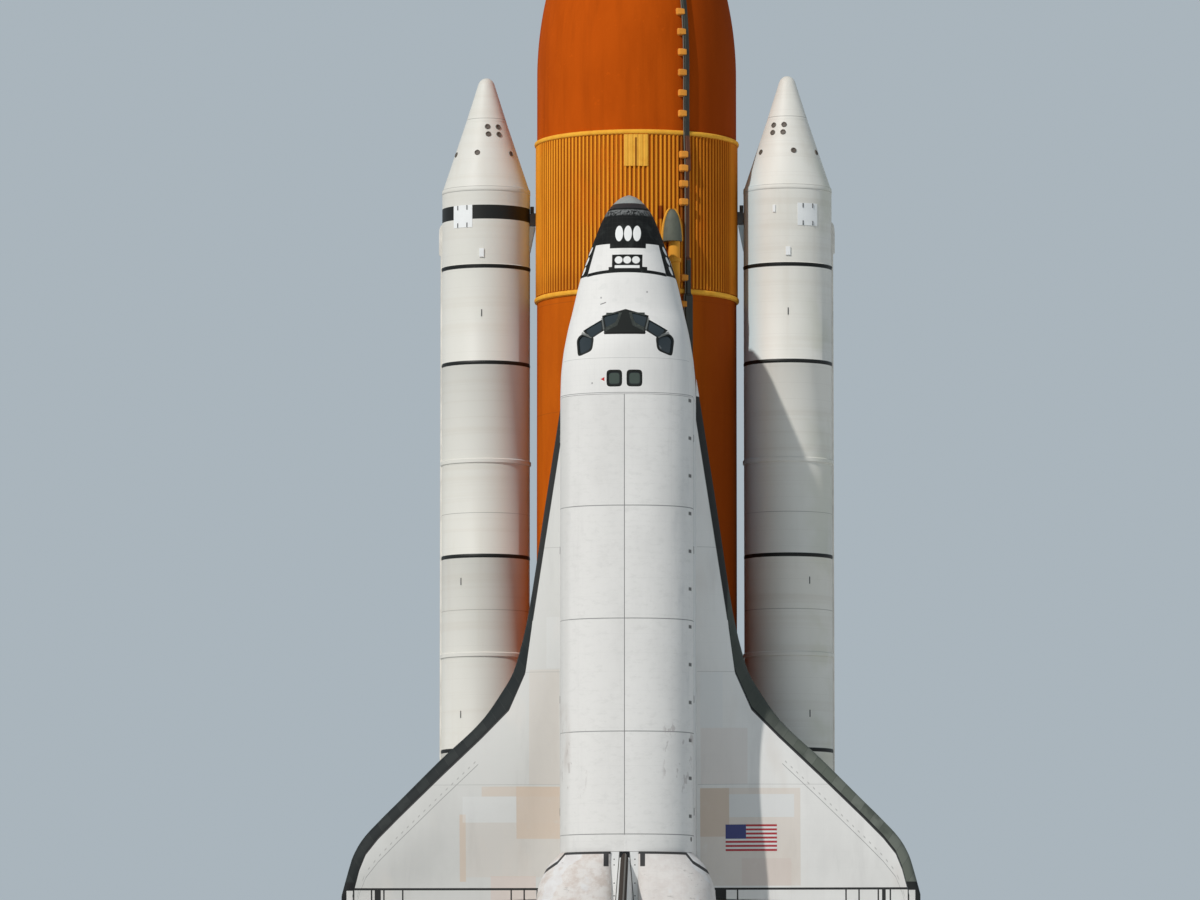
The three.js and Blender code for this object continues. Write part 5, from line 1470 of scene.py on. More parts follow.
def seam_prism(side, shift):
    seam = [(x + shift if i else x - shift, y - shift) for i, (y, x) in enumerate(CARBON_SEAM)]
    outline = seam + [(500, 1400), (500, seam[0][1])]
    return upright([(x, y * side) for x, y in outline], 200, 400)


TAN, PINK, PALE = (0.64, 0.52, 0.42), (0.68, 0.58, 0.53), (0.74, 0.75, 0.75)
# Tinted panels on the wings: stations, offsets, colour, share
WING_PANELS = {
    "left": [
        ((1194, 1210), (114, 240), TAN, 0.55), ((1194, 1278), (114, 184), TAN, 0.75),
        ((1239, 1347), (266, 276), TAN, 0.75), ((1210, 1252), (184, 271), PALE, 0.35),
        ((1338, 1377), (153, 226), PINK, 0.7), ((1252, 1340), (114, 266), TAN, 0.2),
        ((1005, 1191), (114, 163), TAN, 0.25), ((920, 1003), (112, 135), PALE, 0.25),
    ],
    "right": [
        ((1197, 1354), (113, 275), TAN, 0.4), ((1197, 1275), (113, 160), TAN, 0.75),
        ((1207, 1244), (160, 265), PALE, 0.85), ((1310, 1354), (180, 260), PINK, 0.5),
        ((1010, 1100), (114, 150), PALE, 0.5), ((1100, 1191), (114, 190), PINK, 0.3),
    ],
}
# Offsets of the narrow gaps behind the elevons' hinge line
HINGE_TICKS = {
    "left": (151, 172, 193, 368.5, 399, 419, 448),
    "right": (153.5, 173, 348, 369, 400, 419.4, 448.5, 462),
}
# Base colour of the leading edge and the lighter one of some of its lengths; the left edge's tones are much
# darker, as painted shade
CARBON_TONES_AND_SHADE = {
    "left": ((0.020, 0.024, 0.025), (0.036, 0.041, 0.040)),
    "right": ((0.125, 0.140, 0.118), (0.19, 0.205, 0.18)),
}
# Offsets between which a dark block lies behind the hinge line
HINGE_BLOCKS = {"left": [(404, 414)], "right": [(137, 153.5), (406, 412)]}
# White of each wing's upper side; the left wing's is much darker, as painted shade
WING_WHITE_AND_SHADE = {"left": (0.64, 0.635, 0.615), "right": (0.80, 0.79, 0.77)}


def wing_look(hand, side):
    """White felt and tiles above, black tiles below, with tiles' seams, a few tinted patches and painted
    shade on the left wing.
    """
    look = tile_white(f"{hand}_wing_blankets", WING_WHITE_AND_SHADE[hand])
    x, _, z, across = look.orbiter()
    grid = grid_lines(look, x, across, 26, (0.62, 0.62, 0.60), 0.16, 0.4)
    strip = look.noise(1.1, 3, (1, 1, 0.35), 0.5, 13 + side)
    look.paint(look.ramp(strip, 0.55, 0.72), (0.70, 0.66, 0.62), 0.5)
    worn = look.blots(0.05, 0.42, 3.0, 4, (1, 1, 1), 0.6, 21 + side * 3)
    for (x0, x1), (y0, y1), colour, share in WING_PANELS[hand]:
        mask = look.both(look.band(x, x0, x1, 1.2), look.band(across, y0, y1, 1.2))
        look.paint(look.both(mask, worn), colour, share)
    seams = look.bands(x, (807, 1009, 1191), 0.5, 0.3)
    look.paint(look.both(seams, look.ramp(across, 108, 110)), (0.35, 0.35, 0.34), 0.45)

    # The seam behind the leading edge with its row of plugs, and the black edge of the strake
    behind = look.math("SUBTRACT", x, look.curve(across, CARBON_SEAM))
    outer = look.ramp(across, 158, 160)
    line = look.both(look.band(behind, 39.4, 40.8, 0.4), look.ramp(across, 245, 247))
    look.paint(line, (0.22, 0.22, 0.22), 0.75)
    plugs = look.both(look.band(behind, 30.5, 33, 0.5), look.lines(across, 9, 3.0))
    plugs = look.both(plugs, look.ramp(across, 245, 247))
    look.paint(plugs, (0.30, 0.29, 0.28), 0.55)
    look.paint(look.both(look.band(behind, -3, 3.2, 0.5), outer), (0.025, 0.026, 0.028), 0.95)
    strake = look.math("MULTIPLY_ADD", x, -0.155, across)
    strake = look.both(look.ramp(strake, 13.6, 14.6), look.band(x, 560, 925, 2))
    look.paint(strake, (0.014, 0.015, 0.015), 0.97)

    # The elevons' hinge line and the gaps and blocks behind it
    hinge = look.both(look.band(x, 1357.2, 1360.8, 0.5), look.ramp(across, 112, 113))
    ticks = look.bands(across, HINGE_TICKS[hand], 1.2, 0.4)
    blocks = look.either(*(look.band(across, a, b, 0.5) for a, b in HINGE_BLOCKS[hand]))
    gaps = look.both(look.either(ticks, blocks), look.ramp(x, 1358, 1359))
    look.paint(look.either(hinge, gaps), (0.016, 0.017, 0.018), 0.97)
    low = look.math("MULTIPLY_ADD", across, WING_RISE, BELLY + 0.5 - WING_RISE * HALF_WIDTH + 3.2)
    below = look.ramp(look.math("SUBTRACT", low, z), -0.6, 0.4)
    look.paint(below, BLACK)
    look.relief(look.either(grid, seams), 0.6, 9)
    return look.done()


def carbon_look(hand, side):
    """The leading edge's grey lengths, with dark joints, the white block at the wing's tip and painted shade.
    """
    tone, light = CARBON_TONES_AND_SHADE[hand]
    carbon = Look(f"{hand}_carbon", tone, 0.6, 0, 0.12)
    x, _, z, across = carbon.orbiter()
    run = carbon.math("ADD", carbon.math("MULTIPLY", x, 0.55), carbon.math("MULTIPLY", across, 0.83))
    segment = carbon.math("SNAP", run, 21.0)
    tint = carbon.tree.nodes.new("ShaderNodeTexWhiteNoise")
    tint.noise_dimensions = "1D"
    carbon._set(tint.inputs["W"], segment)
    carbon.paint(carbon.ramp(tint.outputs["Value"], 0.0, 1.0), light, 0.6)
    carbon.mottle(toned(tone, 0.8), 0.4, 4, 3, between=(0.5, 0.7))
    if side > 0:
        # Painted shade: the right edge is darker forward of station 1180
        carbon.paint(carbon.under(x, 1040, 1180), (0.045, 0.050, 0.046), 0.7)
        carbon.mottle((0.06, 0.068, 0.062), 0.5, 1.8, 3, (1, 1, 1), 0.6, 3, between=(0.5, 0.7))
    carbon.paint(carbon.lines(run, 21.0, 0.6), (0.05, 0.052, 0.052), 0.5)
    behind = carbon.math("SUBTRACT", x, carbon.curve(across, CARBON_SEAM))
    rim = carbon.either(carbon.ramp(behind, -3.4, -2.8), carbon.ramp(across, 461, 462))
    carbon.paint(carbon.either(rim, carbon.ramp(x, 1347, 1349)), (0.02, 0.021, 0.022), 0.95)
    above = carbon.ramp(z, 291, 293)
    tip = carbon.both(carbon.ramp(x, 1361, 1362), carbon.under(across, 459, 460), above)
    carbon.paint(tip, (0.70, 0.69, 0.67))
    carbon.paint(carbon.both(tip, carbon.band(across, 446.5, 449.2, 0.4)), (0.016, 0.017, 0.018))
    return carbon.done()


def wings():
    for hand, side in HANDS.items():
        wing = wing_build(side).piece(f"{hand}_wing_skin", wing_look(hand, side), **TILES, sharp=40)
        cut(wing, [cutter(seam_prism(side, 0.12))])
        soften(wing, 34)
        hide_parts(f"{hand}_wing")
        edge = wing_build(side).piece(f"{hand}_carbon_edge", carbon_look(hand, side), **CARBON, sharp=40)
        cut(edge, [cutter(seam_prism(side, 0))], "INTERSECT")
        soften(edge, 34)
        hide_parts(f"{hand}_leading_edge")

        for span, (inner, outer) in ELEVON_SPANS.items():
            elevon(hand, side, span, inner, outer)


def elevon(hand, side, span, inner, outer):
    look = tile_white(f"{hand}_{span}_elevon_felt", (0.78, 0.775, 0.76))
    x, _, z, across = look.orbiter()
    joints = look.either(look.lines(x, 26, 0.5, 1401), look.lines(across, 32, 0.5, 116))
    look.paint(joints, (0.62, 0.61, 0.59), 0.35)
    warm = look.blots(0.52, 0.62, 1.5, 2, (1, 1, 0.7), 0.5, 31 + side * 2)
    look.paint(warm, (0.68, 0.56, 0.50), 0.45)
    nose = look.under(x, 1390, 1391)
    look.paint(nose, (0.33, 0.34, 0.34), 0.8)
    # The wing slopes up outboard, so the underside is judged against its own level
    level = look.math("MULTIPLY_ADD", across, WING_RISE, BELLY + 2 - WING_RISE * HALF_WIDTH)
    half = look.scaled(across, along(HINGE_HALF, inner), along(HINGE_HALF, outer), inner, outer)
    middle = look.math("ADD", level, half)
    look.paint(look.ramp(look.math("SUBTRACT", middle, z), 0.2, 0.7), BLACK)
    rows = []
    for y in np.linspace(inner, outer, 12):
        h, c = along(HINGE_HALF, y), hinge_level(y)
        back = 1512 - 0.1806 * (y - 115)
        turns = np.linspace(math.pi / 2, math.pi * 1.5, 19)
        ring = [(ELEVON_HINGE + h * math.cos(t), c + h * math.sin(t)) for t in turns]
        ring += [(back - 0.3, c - 0.85), (back, c - 0.4), (back, c + 0.4), (back - 0.3, c + 0.85)]
        rows.append([(x, y * side, z) for x, z in ring])
    body = f"{hand}_{span}_elevon"
    piece = Build().grid(rows).piece(f"{body}_skin", look.done(), body, sharp=30, **TILES)
    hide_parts(body)


def bay_point(x, radius, t):
    """A point of the bay's round floor."""
    return (x, radius * math.cos(t), 400 - radius * math.sin(t))


def bay():
    """The mid body: grey skin outside, and the bay with its liner, frames and sill longerons."""
    skin = tile_white("bay_sides", (0.78, 0.78, 0.77))
    x, _, z, _ = skin.orbiter()
    grid_lines(skin, x, z, 30, (0.62, 0.62, 0.6), 0.3)
    skin.paint(skin.under(z, 296, 297), BLACK)
    skin.paint(skin.band(z, 405, 414.5, 0.5), (0.42, 0.43, 0.43), 0.85)
    half, low = HALF_WIDTH, BELLY
    outline = [(half, SILL), (93.5, SILL)]
    outline += [(93 * math.cos(t), 400 - 93 * math.sin(t)) for t in np.linspace(0, math.pi, 49)]
    outline += [(-93.5, SILL), (-half, SILL)]
    corner = np.linspace(0, math.pi / 2, 6)
    outline += [(-half + 5 - 5 * math.cos(t), low + 5 - 5 * math.sin(t)) for t in corner]
    outline += [(half - 5 + 5 * math.sin(t), low + 5 - 5 * math.cos(t)) for t in corner]
    rows = [[(x, y, z) for y, z in outline] for x in (576.02, 1306.95)]
    piece = Build().grid(rows).piece("mid_body_skin", skin.done(), **TILES, sharp=30)
    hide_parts("mid_fuselage")

    liner = Look("bay_liner", (0.72, 0.71, 0.66), 0.7)
    lx = liner.station(ORBITER_STATION)
    liner.mottle((0.60, 0.59, 0.54), 0.6, 4, 4)
    liner.paint(liner.lines(lx, 14, 0.5), (0.45, 0.44, 0.41), 0.5)
    liner.bump(liner.noise(12, 4), 0.006, 0.7)
    cloth = Build()
    arc = np.linspace(0.03, math.pi - 0.03, 40)
    cloth.grid([[bay_point(x, 92.6, t) for t in arc] + [bay_point(x, 92.95, t) for t in arc[::-1]]
                for x in np.linspace(577, 1306, 30)])
    cloth.piece("bay_liner", liner.done(), **TILES)
    metal = plain("bay_frames", (0.50, 0.52, 0.50), 0.45, 0.6)
    frames = Build()
    for x in np.linspace(636, 1247, 12):
        rows = []
        for t in np.linspace(0.04, math.pi - 0.04, 30):
            section = ((-1.2, 92.8), (1.2, 92.8), (1.2, 89.2), (-1.2, 89.2))
            rows.append([bay_point(x + a, r, t) for a, r in section])
        frames.grid(rows)
    for side in (-1, 1):
        frames.box((578, 1305), sorted((side * 93.2, side * 88)), (408.5, 413.6))
        for x in np.linspace(590, 1294, 13):
            frames.box((x - 3, x + 3), sorted((side * 88.2, side * 84.6)), (409.2, 413))
    frames.piece("bay_frames", metal, **TILES)
    pins = Build()
    for side in (-1, 1):
        for x in (640, 820, 1060, 1240):
            pins.rod((x - 6, side * 107.5, 414.2), (x + 6, side * 107.5, 414.2), 0.5, sides=10)
    steel = plain("hinge_steel", (0.35, 0.35, 0.34), 0.4, 0.8)
    pins.piece("door_hinge_pins", steel, **TILES)


def aft_body():
    """The boat tail: white sides with black base, hollow round the engines."""
    look = tile_white("aft_body_tiles", (0.78, 0.78, 0.77))
    x, _, z, across = look.orbiter()
    grid_lines(look, x, z, 30, (0.62, 0.62, 0.6), 0.3)
    look.paint(look.under(z, 300, 301), BLACK)
    base = look.math("MULTIPLY_ADD", z, math.sin(BASE_SLOPE), look.math("MULTIPLY", x, math.cos(BASE_SLOPE)))
    look.paint(look.ramp(base, BASE_REACH, BASE_REACH + 1), BLACK)
    look.paint(look.math("GREATER_THAN", x, 1560), BLACK)
    # The panels beside the fin's foot, with their rivets and dark edges
    deck = look.ramp(z, 494, 496)
    lean = look.math("SUBTRACT", across, look.math("MULTIPLY_ADD", x, 0.085, 8.2 - 0.085 * 1312))
    look.paint(look.both(look.band(lean, -0.7, 0.7, 0.3), deck), (0.03, 0.03, 0.03), 0.9)
    rivets = [look.oval(x, across, (at, 16.5), (1.1, 1.1), 0.4) for at in (1319, 1328, 1357, 1377, 1397)]
    look.paint(look.both(look.either(*rivets), deck), (0.05, 0.05, 0.05), 0.9)
    look.paint(look.both(look.under(x, 1316, 1317), look.under(across, 7.4, 8), deck), BLACK)
    cad_look("aft_fuselage", look.done())


def cad_look(node, material):
    """Gives a CAD node that keeps showing its finish."""
    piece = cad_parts[node]
    piece.data.materials.clear()
    piece.data.materials.append(material)


# Level, front, back, half thickness
FIN_SECTIONS = [
    (500.1, 1309, 1496, 13.5), (520, 1326, 1500, 13), (600, 1399, 1500, 11.5), (700, 1491, 1567, 9),
    (790, 1574, 1628, 6.6), (808, 1592, 1640, 6), (816, 1604, 1645, 5),
]
RUDDER_FOOT = Vector((1512, 0, 600))
RUDDER_HEAD = Vector((1651, 0, 812))
RUDDER_LENGTH = (RUDDER_HEAD - RUDDER_FOOT).length
RUDDER_AXIS = (RUDDER_HEAD - RUDDER_FOOT).normalized()
RUDDER_CHORD = Vector((RUDDER_AXIS.z, 0, -RUDDER_AXIS.x))


def on_rudder(run, chord, y):
    p = RUDDER_FOOT + RUDDER_AXIS * run + RUDDER_CHORD * chord
    return (p.x, y, p.z)


def rudder_half(run):
    return 9.2 - 4.0 * run / RUDDER_LENGTH


def fin_look():
    """White felt, dark along the leading edge and at the tip."""
    look = tile_white("fin_felt", (0.74, 0.74, 0.73))
    x, y, z, _ = look.orbiter()
    grid_lines(look, x, z, 24, (0.58, 0.58, 0.57), 0.35)
    lead = look.math("SUBTRACT", x, look.math("MULTIPLY", look.math("SUBTRACT", z, 500), 0.915))
    nose = look.under(lead, 1317, 1319)
    look.paint(nose, (0.030, 0.020, 0.014), 0.97)
    look.paint(look.both(nose, look.band(y, 0.8, 3.2, 0.5)), (0.20, 0.19, 0.175), 0.9)
    tip = look.ramp(z, 796, 797)
    look.paint(tip, (0.07, 0.072, 0.075), 0.9)
    chute = look.both(look.under(z, 551, 552), look.ramp(x, 1440, 1441))
    look.paint(chute, (0.75, 0.75, 0.74), 0.6)
    return look.done()


def fin_build():
    shares = [(0, 0), (0.004, 0.12), (0.02, 0.30), (0.05, 0.46), (0.1, 0.62), (0.18, 0.76)]
    shares += [(0.28, 0.87), (0.4, 0.95), (0.55, 1), (0.7, 1), (0.85, 0.97), (1, 0.92)]
    rows = []
    for level in [*np.linspace(500.1, 808, 40), 811, 814, 815.5, 816]:
        front, back, half = (along(column(FIN_SECTIONS, k), level) for k in (1, 2, 3))
        ring = [(front + s * (back - front), t * half, level) for s, t in shares]
        rows.append(ring + [(a, -b, c) for a, b, c in ring[:0:-1]])
    return Build().grid(rows)


def chute_build():
    """The round case of the drag chute, at the fin's foot."""
    outline = [(0, 1440), (3.5, 1441), (8, 1446), (13.5, 1457), (17, 1468)]
    outline += [(17.95, 1476), (17.95, 1523), (17, 1527), (0, 1527.9)]
    return Build().lathe(outline, 48, 0, 532)


def tail():
    """The fin and the chute's case, cut by what the upper engine reaches."""
    material = fin_look()
    for name, build in (("fin_skin", fin_build()), ("chute_case", chute_build())):
        piece = build.piece(name, material, **TILES, sharp=40)
        cut(piece, [engine_reach(ENGINES[0])])
        soften(piece, 40)
        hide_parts("fin")
    rudder()


def rudder():
    """The shaft, and the felt of the two panels that turn about it."""
    shaft = plain("rudder_shaft_black", (0.05, 0.05, 0.052), 0.5, 0.2)
    rows = []
    for run in (12, RUDDER_LENGTH - 6):
        half = rudder_half(run)
        rows.append([on_rudder(run, half * math.cos(t), half * math.sin(t)) for t in circle(32)])
    rod = Build().grid(rows)
    rod = rod.piece("rudder_shaft_skin", shaft, "rudder_shaft", "black_tiles", place=on_orbiter)
    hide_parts("rudder_shaft")
    for hand in HANDS:
        felt = tile_white(f"{hand}_rudder_felt", (0.76, 0.76, 0.75))
        across = felt.math("ABSOLUTE", felt.starboard())
        grid_lines(felt, felt.station(), felt.height(), 24, (0.6, 0.6, 0.59), 0.35)
        felt.paint(felt.under(across, 0.6, 0.8), (0.25, 0.25, 0.25))
        cad_look(f"{hand}_rudder_panel", felt.done())


POD_SOIL = {"left": ((0.56, 0.47, 0.42), 0.75), "right": ((0.62, 0.56, 0.53), 0.55)}
# Station, inner edge, outer edge, top, where the crest lies, level of the widest part
POD_SECTIONS = [
    (1308, 22, 108, 503, 24, 414), (1330, 22, 127, 509, 45, 425), (1370, 21, 142, 520, 65, 440),
    (1430, 21, 146, 528, 78, 450), (1500, 21, 147, 530, 82, 452), (1535, 27, 145, 526, 84, 452),
    (1560, 40, 134, 513, 84, 452),
]


def at_engine(engine):
    """Turns lengths along and across an engine's axis into places on the orbiter."""
    _, gimbal, up, out = engine
    turn = Matrix.Rotation(math.radians(out), 3, "Z") @ Matrix.Rotation(-math.radians(up), 3, "Y")
    return lambda x, y, z: on_orbiter(*(Vector(gimbal) + turn @ Vector((x, y, z))))


def engine_reach(engine):
    """A cutter for all that an engine's bell can reach outside the body."""
    pitch, yaw = math.sin(math.radians(10.6)), math.sin(math.radians(8.6))
    turns = [(i + 0.5) / 32 * 2 * math.pi for i in range(32)]
    rows = []
    for x, radius in ((30, 39), (60, 29.5), (90, 35), (126, 46), (175, 56.5)):
        ring = []
        for y, z in ((math.cos(turn), math.sin(turn)) for turn in turns):
            swing_y, swing_z = x * yaw * math.copysign(1, y), x * pitch * math.copysign(1, z)
            ring.append((x, swing_y + radius * y, swing_z + radius * z))
        rows.append(ring)
    return cutter(Build().grid(rows), at_engine(engine))


def aft_block():
    """A cutter for all that lies inside the aft body, up to its slanted base."""
    rows = []
    for at in (1300, 1350, 1400, 1450, None):
        half, shoulder, roof = (along(column(AFT_SECTIONS, k), at or 1475) for k in (1, 2, 3))
        edge = [(half, 330)] + [crown_point(half, shoulder, roof, t) for t in np.linspace(0, 1, 24)]
        outline = edge + [(-y, z) for y, z in reversed(edge[:-1])]
        rows.append([(at or (BASE_REACH - z * math.sin(BASE_SLOPE)) / math.cos(BASE_SLOPE), y, z)
                     for y, z in outline])
    return cutter(Build().grid(rows))


def pod_ring(x, side):
    """Upright inside, a broad crest and a round outer side, as the part has it."""
    inner, outer, top, crest, waist = (smooth_along(column(POD_SECTIONS, k), x) for k in range(1, 6))

    def quarter(t, edge, level):
        """A point of a rounded quarter, from the edge at t = 0 to the crest."""
        out, up = max(0, math.cos(t)) ** 0.87, math.sin(t) ** 0.87
        return (crest + (edge - crest) * out, level + (top - level) * up)

    ring = [quarter(t, outer, waist) for t in np.linspace(0, math.pi / 2, 30, False)]
    ring += [quarter(t, inner, 497) for t in np.linspace(math.pi / 2, 0, 14)]
    ring += [(inner, 398), (outer - 30, 398), (outer - 8, 408)]
    return [(x, side * y, z) for y, z in ring]


def pod_look(hand, side):
    """Soiled tiles with scratches, and the dark gasket along the pod's front."""
    look = tile_white(f"{hand}_pod_tiles", (0.74, 0.705, 0.68))
    x, _, z, across = look.orbiter()
    patch = look.noise(3.6, 6, (1, 1, 1.4), 0.72, 41 + side)
    soil, share = POD_SOIL[hand]
    look.paint(look.ramp(patch, 0.38, 0.68), soil, share)
    tiles = look.noise(1.6, 2, (1, 1, 1), 0.5, 61 + side)
    look.paint(look.ramp(tiles, 0.56, 0.60), (0.74, 0.75, 0.77), 0.5)
    scratches = look.blots(0.60, 0.66, 11, 3, (0.5, 1, 1.8), 0.6, 51)
    where = look.blots(0.42, 0.6, 2.2, 2, (1, 1, 1), 0.5, 53)
    look.paint(look.both(scratches, where), (0.36, 0.34, 0.32), 0.5)
    joints = grid_lines(look, x, across, 13, (0.56, 0.55, 0.55), 0.25, 0.3)
    # The gasket along the front and the tab at its inner end
    start = look.curve(across, [(20, 1310.6), (96, 1311.2), (108, 1326), (150, 1352)])
    gasket = look.band(look.math("SUBTRACT", x, start), -5.4, 0, 0.5)
    tab = look.both(look.under(x, 1330, 1331), look.band(across, 25, 33, 0.4), look.ramp(z, 488, 490))
    look.paint(look.either(gasket, tab), (0.022, 0.023, 0.025), 0.95)
    look.paint(look.ramp(x, 1552, 1553), BLACK)
    look.relief(joints, 0.5, 10)
    return look.done()


def pods():
    """The pods either side of the fin, cut by the aft body and by what the engines reach."""
    for hand, side in HANDS.items():
        stations = [1307.2, 1308.6, 1312, 1316, 1322, *np.linspace(1330, 1535, 26), 1545, 1553, 1560]
        pod = Build().grid([pod_ring(at, side) for at in stations])
        piece = pod.piece(f"{hand}_pod_shell", pod_look(hand, side), **TILES)
        lower_engine = ENGINES[1 if side < 0 else 2]
        cut(piece, [aft_block(), engine_reach(ENGINES[0]), engine_reach(lower_engine)])
        soften(piece)
        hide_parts(f"{hand}_pod")

    bell = Look("pod_bell", (0.11, 0.10, 0.095), 0.5, 0.5)
    bell.mottle((0.17, 0.16, 0.15), 0.5, 6, 3)
    for hand in HANDS:
        cad_look(f"{hand}_pod_nozzle", bell.material)
    bell.done()


def body_flap():
    look = Look("flap_tiles", BLACK, 0.6)
    look.mottle((0.05, 0.052, 0.055), 0.6, 4, 3, between=(0.45, 0.7))
    cad_look("body_flap", look.done())


def engines():
    """Three bells with hoops round them and round shields before them, on the bodies that steer them."""
    look = Look("engine_bell", (0.34, 0.30, 0.26), 0.38, 0.85)
    look.mottle((0.22, 0.19, 0.17), 0.7, 3, 4, (1, 1, 0.2))
    metal = look.done()
    dome = Look("engine_dome", (0.62, 0.62, 0.60), 0.6)
    dome.mottle((0.48, 0.47, 0.45), 0.6, 5, 4)
    dome_material = dome.done()
    for engine in ENGINES:
        name = engine[0]
        place = at_engine(engine)
        bell = [(13.5, 60), (16, 64), (20, 72), (25, 84), (30, 96.5), (34, 108)]
        bell += [(38.4, 124), (42, 140), (45, 154), (46.9, 166), (47.2, 168)]
        inner = [(45.9, 168), (44, 156), (40.4, 138), (36.5, 122), (31.5, 106)]
        inner += [(24, 88), (16, 74), (8, 66), (0, 64)]
        shell = Build().lathe([(0, 59)] + bell + inner, 64)
        for x in (84, 98, 112, 126, 140, 154):
            r = along([(at, radius) for radius, at in bell], x)
            hoop = [(r - 0.6, x - 1.1), (r + 1.0, x - 1.1), (r + 1.0, x + 1.1), (r - 0.6, x + 1.1)]
            shell.lathe(hoop, 64, close=True)
        piece = shell.piece(f"{name}_bell", metal, f"{name}_engine", "nozzle_metal", place=place)
        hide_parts(f"{name}_engine")
        profile = [(7.6, 3), (9, 3), (12.5, 8), (16, 14), (16, 44)]
        profile += [(50 * math.sin(t), 50 * math.cos(t)) for t in np.radians([47, 44, 40, 34, 27, 20])]
        profile += [(13.5, 60), (0, 60)]
        shield = Build().lathe([(0, 7.2), (4, 6.4)] + profile, 64)
        shield.piece(f"{name}_shield", dome_material, f"{name}_engine", "nozzle_metal", place=place)


def hatch():
    """The round crew hatch with its small window, on its own body."""
    look = tile_white("hatch_tiles")
    x, _, z, _ = look.orbiter()
    away = look.distance(x, z, HATCH)
    grid_lines(look, x, z, 8, (0.6, 0.6, 0.59), 0.3, 0.3)
    look.paint(look.band(away, 5, 8, 0.3), (0.05, 0.05, 0.05))
    look.paint(look.under(away, 4.8, 5.1), (0.02, 0.025, 0.028))
    plug = body_build(480, 536, 0, 3).piece("hatch_skin", look.done(), "crew_hatch", **TILES)
    cut(plug, [cutter(body_build(470, 546, 8, 3))])
    cut(plug, [cutter(hatch_rod(-110, -94, 20.6, 17.75))], "INTERSECT")
    soften(plug)
    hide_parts("crew_hatch")


def flag():
    """A plain striped panel on the starboard wing, seven red stripes and six white with a blue corner."""
    FRONT, BACK = 1255.7, 1298.4
    INNER, OUTER = 153.9, 237

    def surface(x, y):
        front, depth = (smooth_along(column(WING_SECTIONS, k), y) for k in (1, 2))
        back = ELEVON_HINGE - along(HINGE_HALF, y) - 0.45
        t = min(1, max(0, ((x - front) / (back - front) - 0.45) / 0.55))
        low = lower_surface(y)
        t = t * t * (3 - 2 * t)
        return low + depth + (hinge_level(y) + along(HINGE_HALF, y) - low - depth) * t

    look = Look("flag_stripes", (0.74, 0.74, 0.73), 0.6)
    x = look.station(ORBITER_STATION + FRONT)
    y = look.starboard(INNER)
    height = (BACK - FRONT) / 13
    stripe = look.math("FLOOR", look.math("DIVIDE", x, height))
    odd = look.math("MODULO", stripe, 2.0)
    look.paint(look.math("SUBTRACT", 1.0, odd), (0.42, 0.035, 0.045))
    upper = look.math("LESS_THAN", x, height * 7)
    corner = look.both(upper, look.math("LESS_THAN", y, (OUTER - INNER) * 0.4))
    look.paint(corner, (0.045, 0.055, 0.19))
    panel = Build()
    xs = np.linspace(FRONT, BACK, 14)
    ys = np.linspace(INNER, OUTER, 18)
    top = [[(a, b, surface(a, b) + 0.22) for b in ys] for a in xs]
    panel.grid(top, close=False)
    panel.piece("wing_flag", look.done(), **TILES)


def kept_pieces():
    """Finishes for the CAD nodes that show as they are."""
    white = plain("strut_white", (0.72, 0.71, 0.68), 0.5, 0.1)
    foam_tan = plain("bipod_foam", (0.50, 0.22, 0.06), 0.8, bump=0.002)
    steel = plain("frame_steel", (0.46, 0.40, 0.33), 0.5, 0.3)
    grey = plain("cabin_paint", (0.36, 0.40, 0.42), 0.6)
    dark = plain("gimbal_steel", (0.30, 0.30, 0.30), 0.35, 0.8)
    for hand in HANDS:
        cad_look(f"{hand}_aft_struts", white)
    cad_look("forward_bipod", foam_tan)
    cad_look("aft_attach_frame", steel)
    cad_look("flight_deck", grey)
    for name, *_ in ENGINES:
        cad_look(f"{name}_gimbal", dark)


# Setting

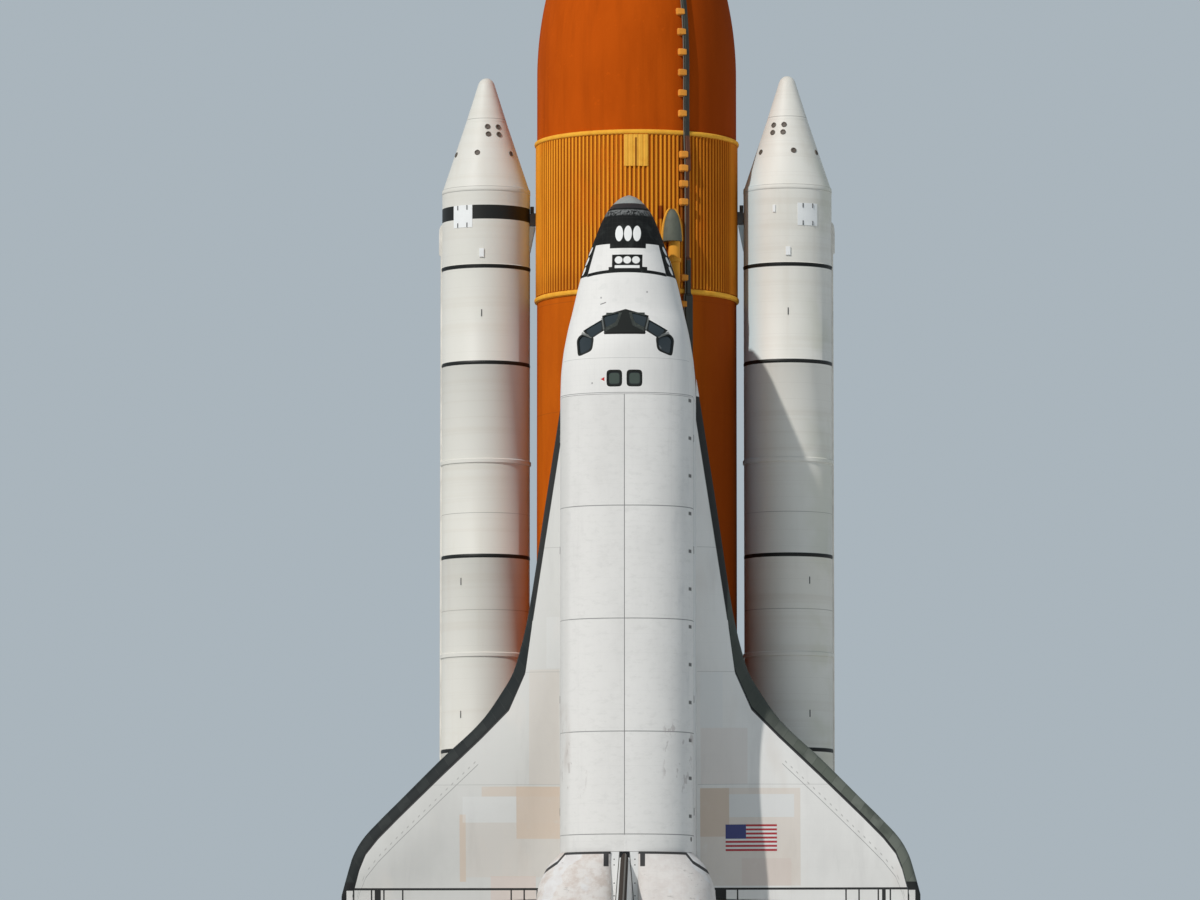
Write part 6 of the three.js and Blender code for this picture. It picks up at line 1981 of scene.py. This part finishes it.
def backdrop():
    """A wide pale floor and a plain sky, lighter near the horizon."""
    size = 330
    mesh = bpy.data.meshes.new("floor")
    corners = [(-size, -size, -0.001), (size, -size, -0.001), (size, size, -0.001), (-size, size, -0.001)]
    mesh.from_pydata(corners, [], [(0, 1, 2, 3)])
    mesh.materials.append(Look("floor_pale", (0.62, 0.62, 0.61), 0.9, 0, 0.1).done())
    ground = placed("floor", mesh)

    world = bpy.data.worlds.new("sky")
    bpy.context.scene.world = world
    world.use_nodes = True
    tree = world.node_tree
    back = tree.nodes["Background"]
    place = tree.nodes.new("ShaderNodeTexCoord")
    split = tree.nodes.new("ShaderNodeSeparateXYZ")
    tree.links.new(place.outputs["Generated"], split.inputs[0])
    rise = tree.nodes.new("ShaderNodeMapRange")
    rise.inputs["From Min"].default_value = 0.16
    rise.inputs["From Max"].default_value = 0.6
    tree.links.new(split.outputs["Z"], rise.inputs["Value"])
    shade = tree.nodes.new("ShaderNodeMix")
    shade.data_type = "RGBA"
    shade.inputs["A"].default_value = (0.535, 0.615, 0.675, 1)
    shade.inputs["B"].default_value = (0.27, 0.33, 0.38, 1)
    tree.links.new(rise.outputs["Result"], shade.inputs["Factor"])
    tree.links.new(shade.outputs["Result"], back.inputs["Color"])
    back.inputs["Strength"].default_value = 0.75


def sun(name, azimuth, elevation, strength, colour, softness):
    """A distant light that comes from an azimuth left of the camera's line, at an elevation."""
    light = bpy.data.lights.new(name, "SUN")
    light.energy = strength
    light.color = colour
    light.angle = math.radians(softness)
    lamp = placed(name, light)
    a, e = math.radians(azimuth), math.radians(elevation)
    source = Vector((-math.sin(a) * math.cos(e), -math.cos(a) * math.cos(e), math.sin(e)))
    lamp.rotation_mode = "QUATERNION"
    lamp.rotation_quaternion = source.to_track_quat("Z", "Y")


def camera():
    """The camera stands a long way back near the floor and looks up with a long lens."""
    DISTANCE, HEIGHT = 149.52, 0.4
    SIDE, YAW, PITCH = math.radians(2.671), math.radians(0.2244), math.radians(5.436)
    data = bpy.data.cameras.new("camera")
    data.sensor_width = 36
    data.lens = 219.58
    data.clip_start, data.clip_end = 1.0, 2000.0
    eye = placed("camera", data)
    eye.location = (DISTANCE * math.sin(SIDE), -DISTANCE * math.cos(SIDE), HEIGHT)
    turn = SIDE + YAW
    forward = Vector((-math.sin(turn) * math.cos(PITCH), math.cos(turn) * math.cos(PITCH), math.sin(PITCH)))
    eye.rotation_mode = "QUATERNION"
    eye.rotation_quaternion = forward.to_track_quat("-Z", "Y")
    bpy.context.scene.camera = eye


oxygen_tank()
intertank()
hydrogen_tank()
feedline()
cable_tray()
for hand, side in HANDS.items():
    booster(hand, side)
forward_body(body_look())
window_glass()
hatch()
bay()
doors()
aft_body()
wings()
tail()
pods()
body_flap()
engines()
flag()
kept_pieces()
backdrop()
sun("key", 38, 38, 2.45, (1.0, 0.965, 0.915), 1.0)
sun("fill", -50, 25, 0.1, (0.95, 0.97, 1.0), 20.0)
camera()
bpy.context.scene.view_settings.view_transform = "Standard"
bpy.context.scene.view_settings.look = "None"
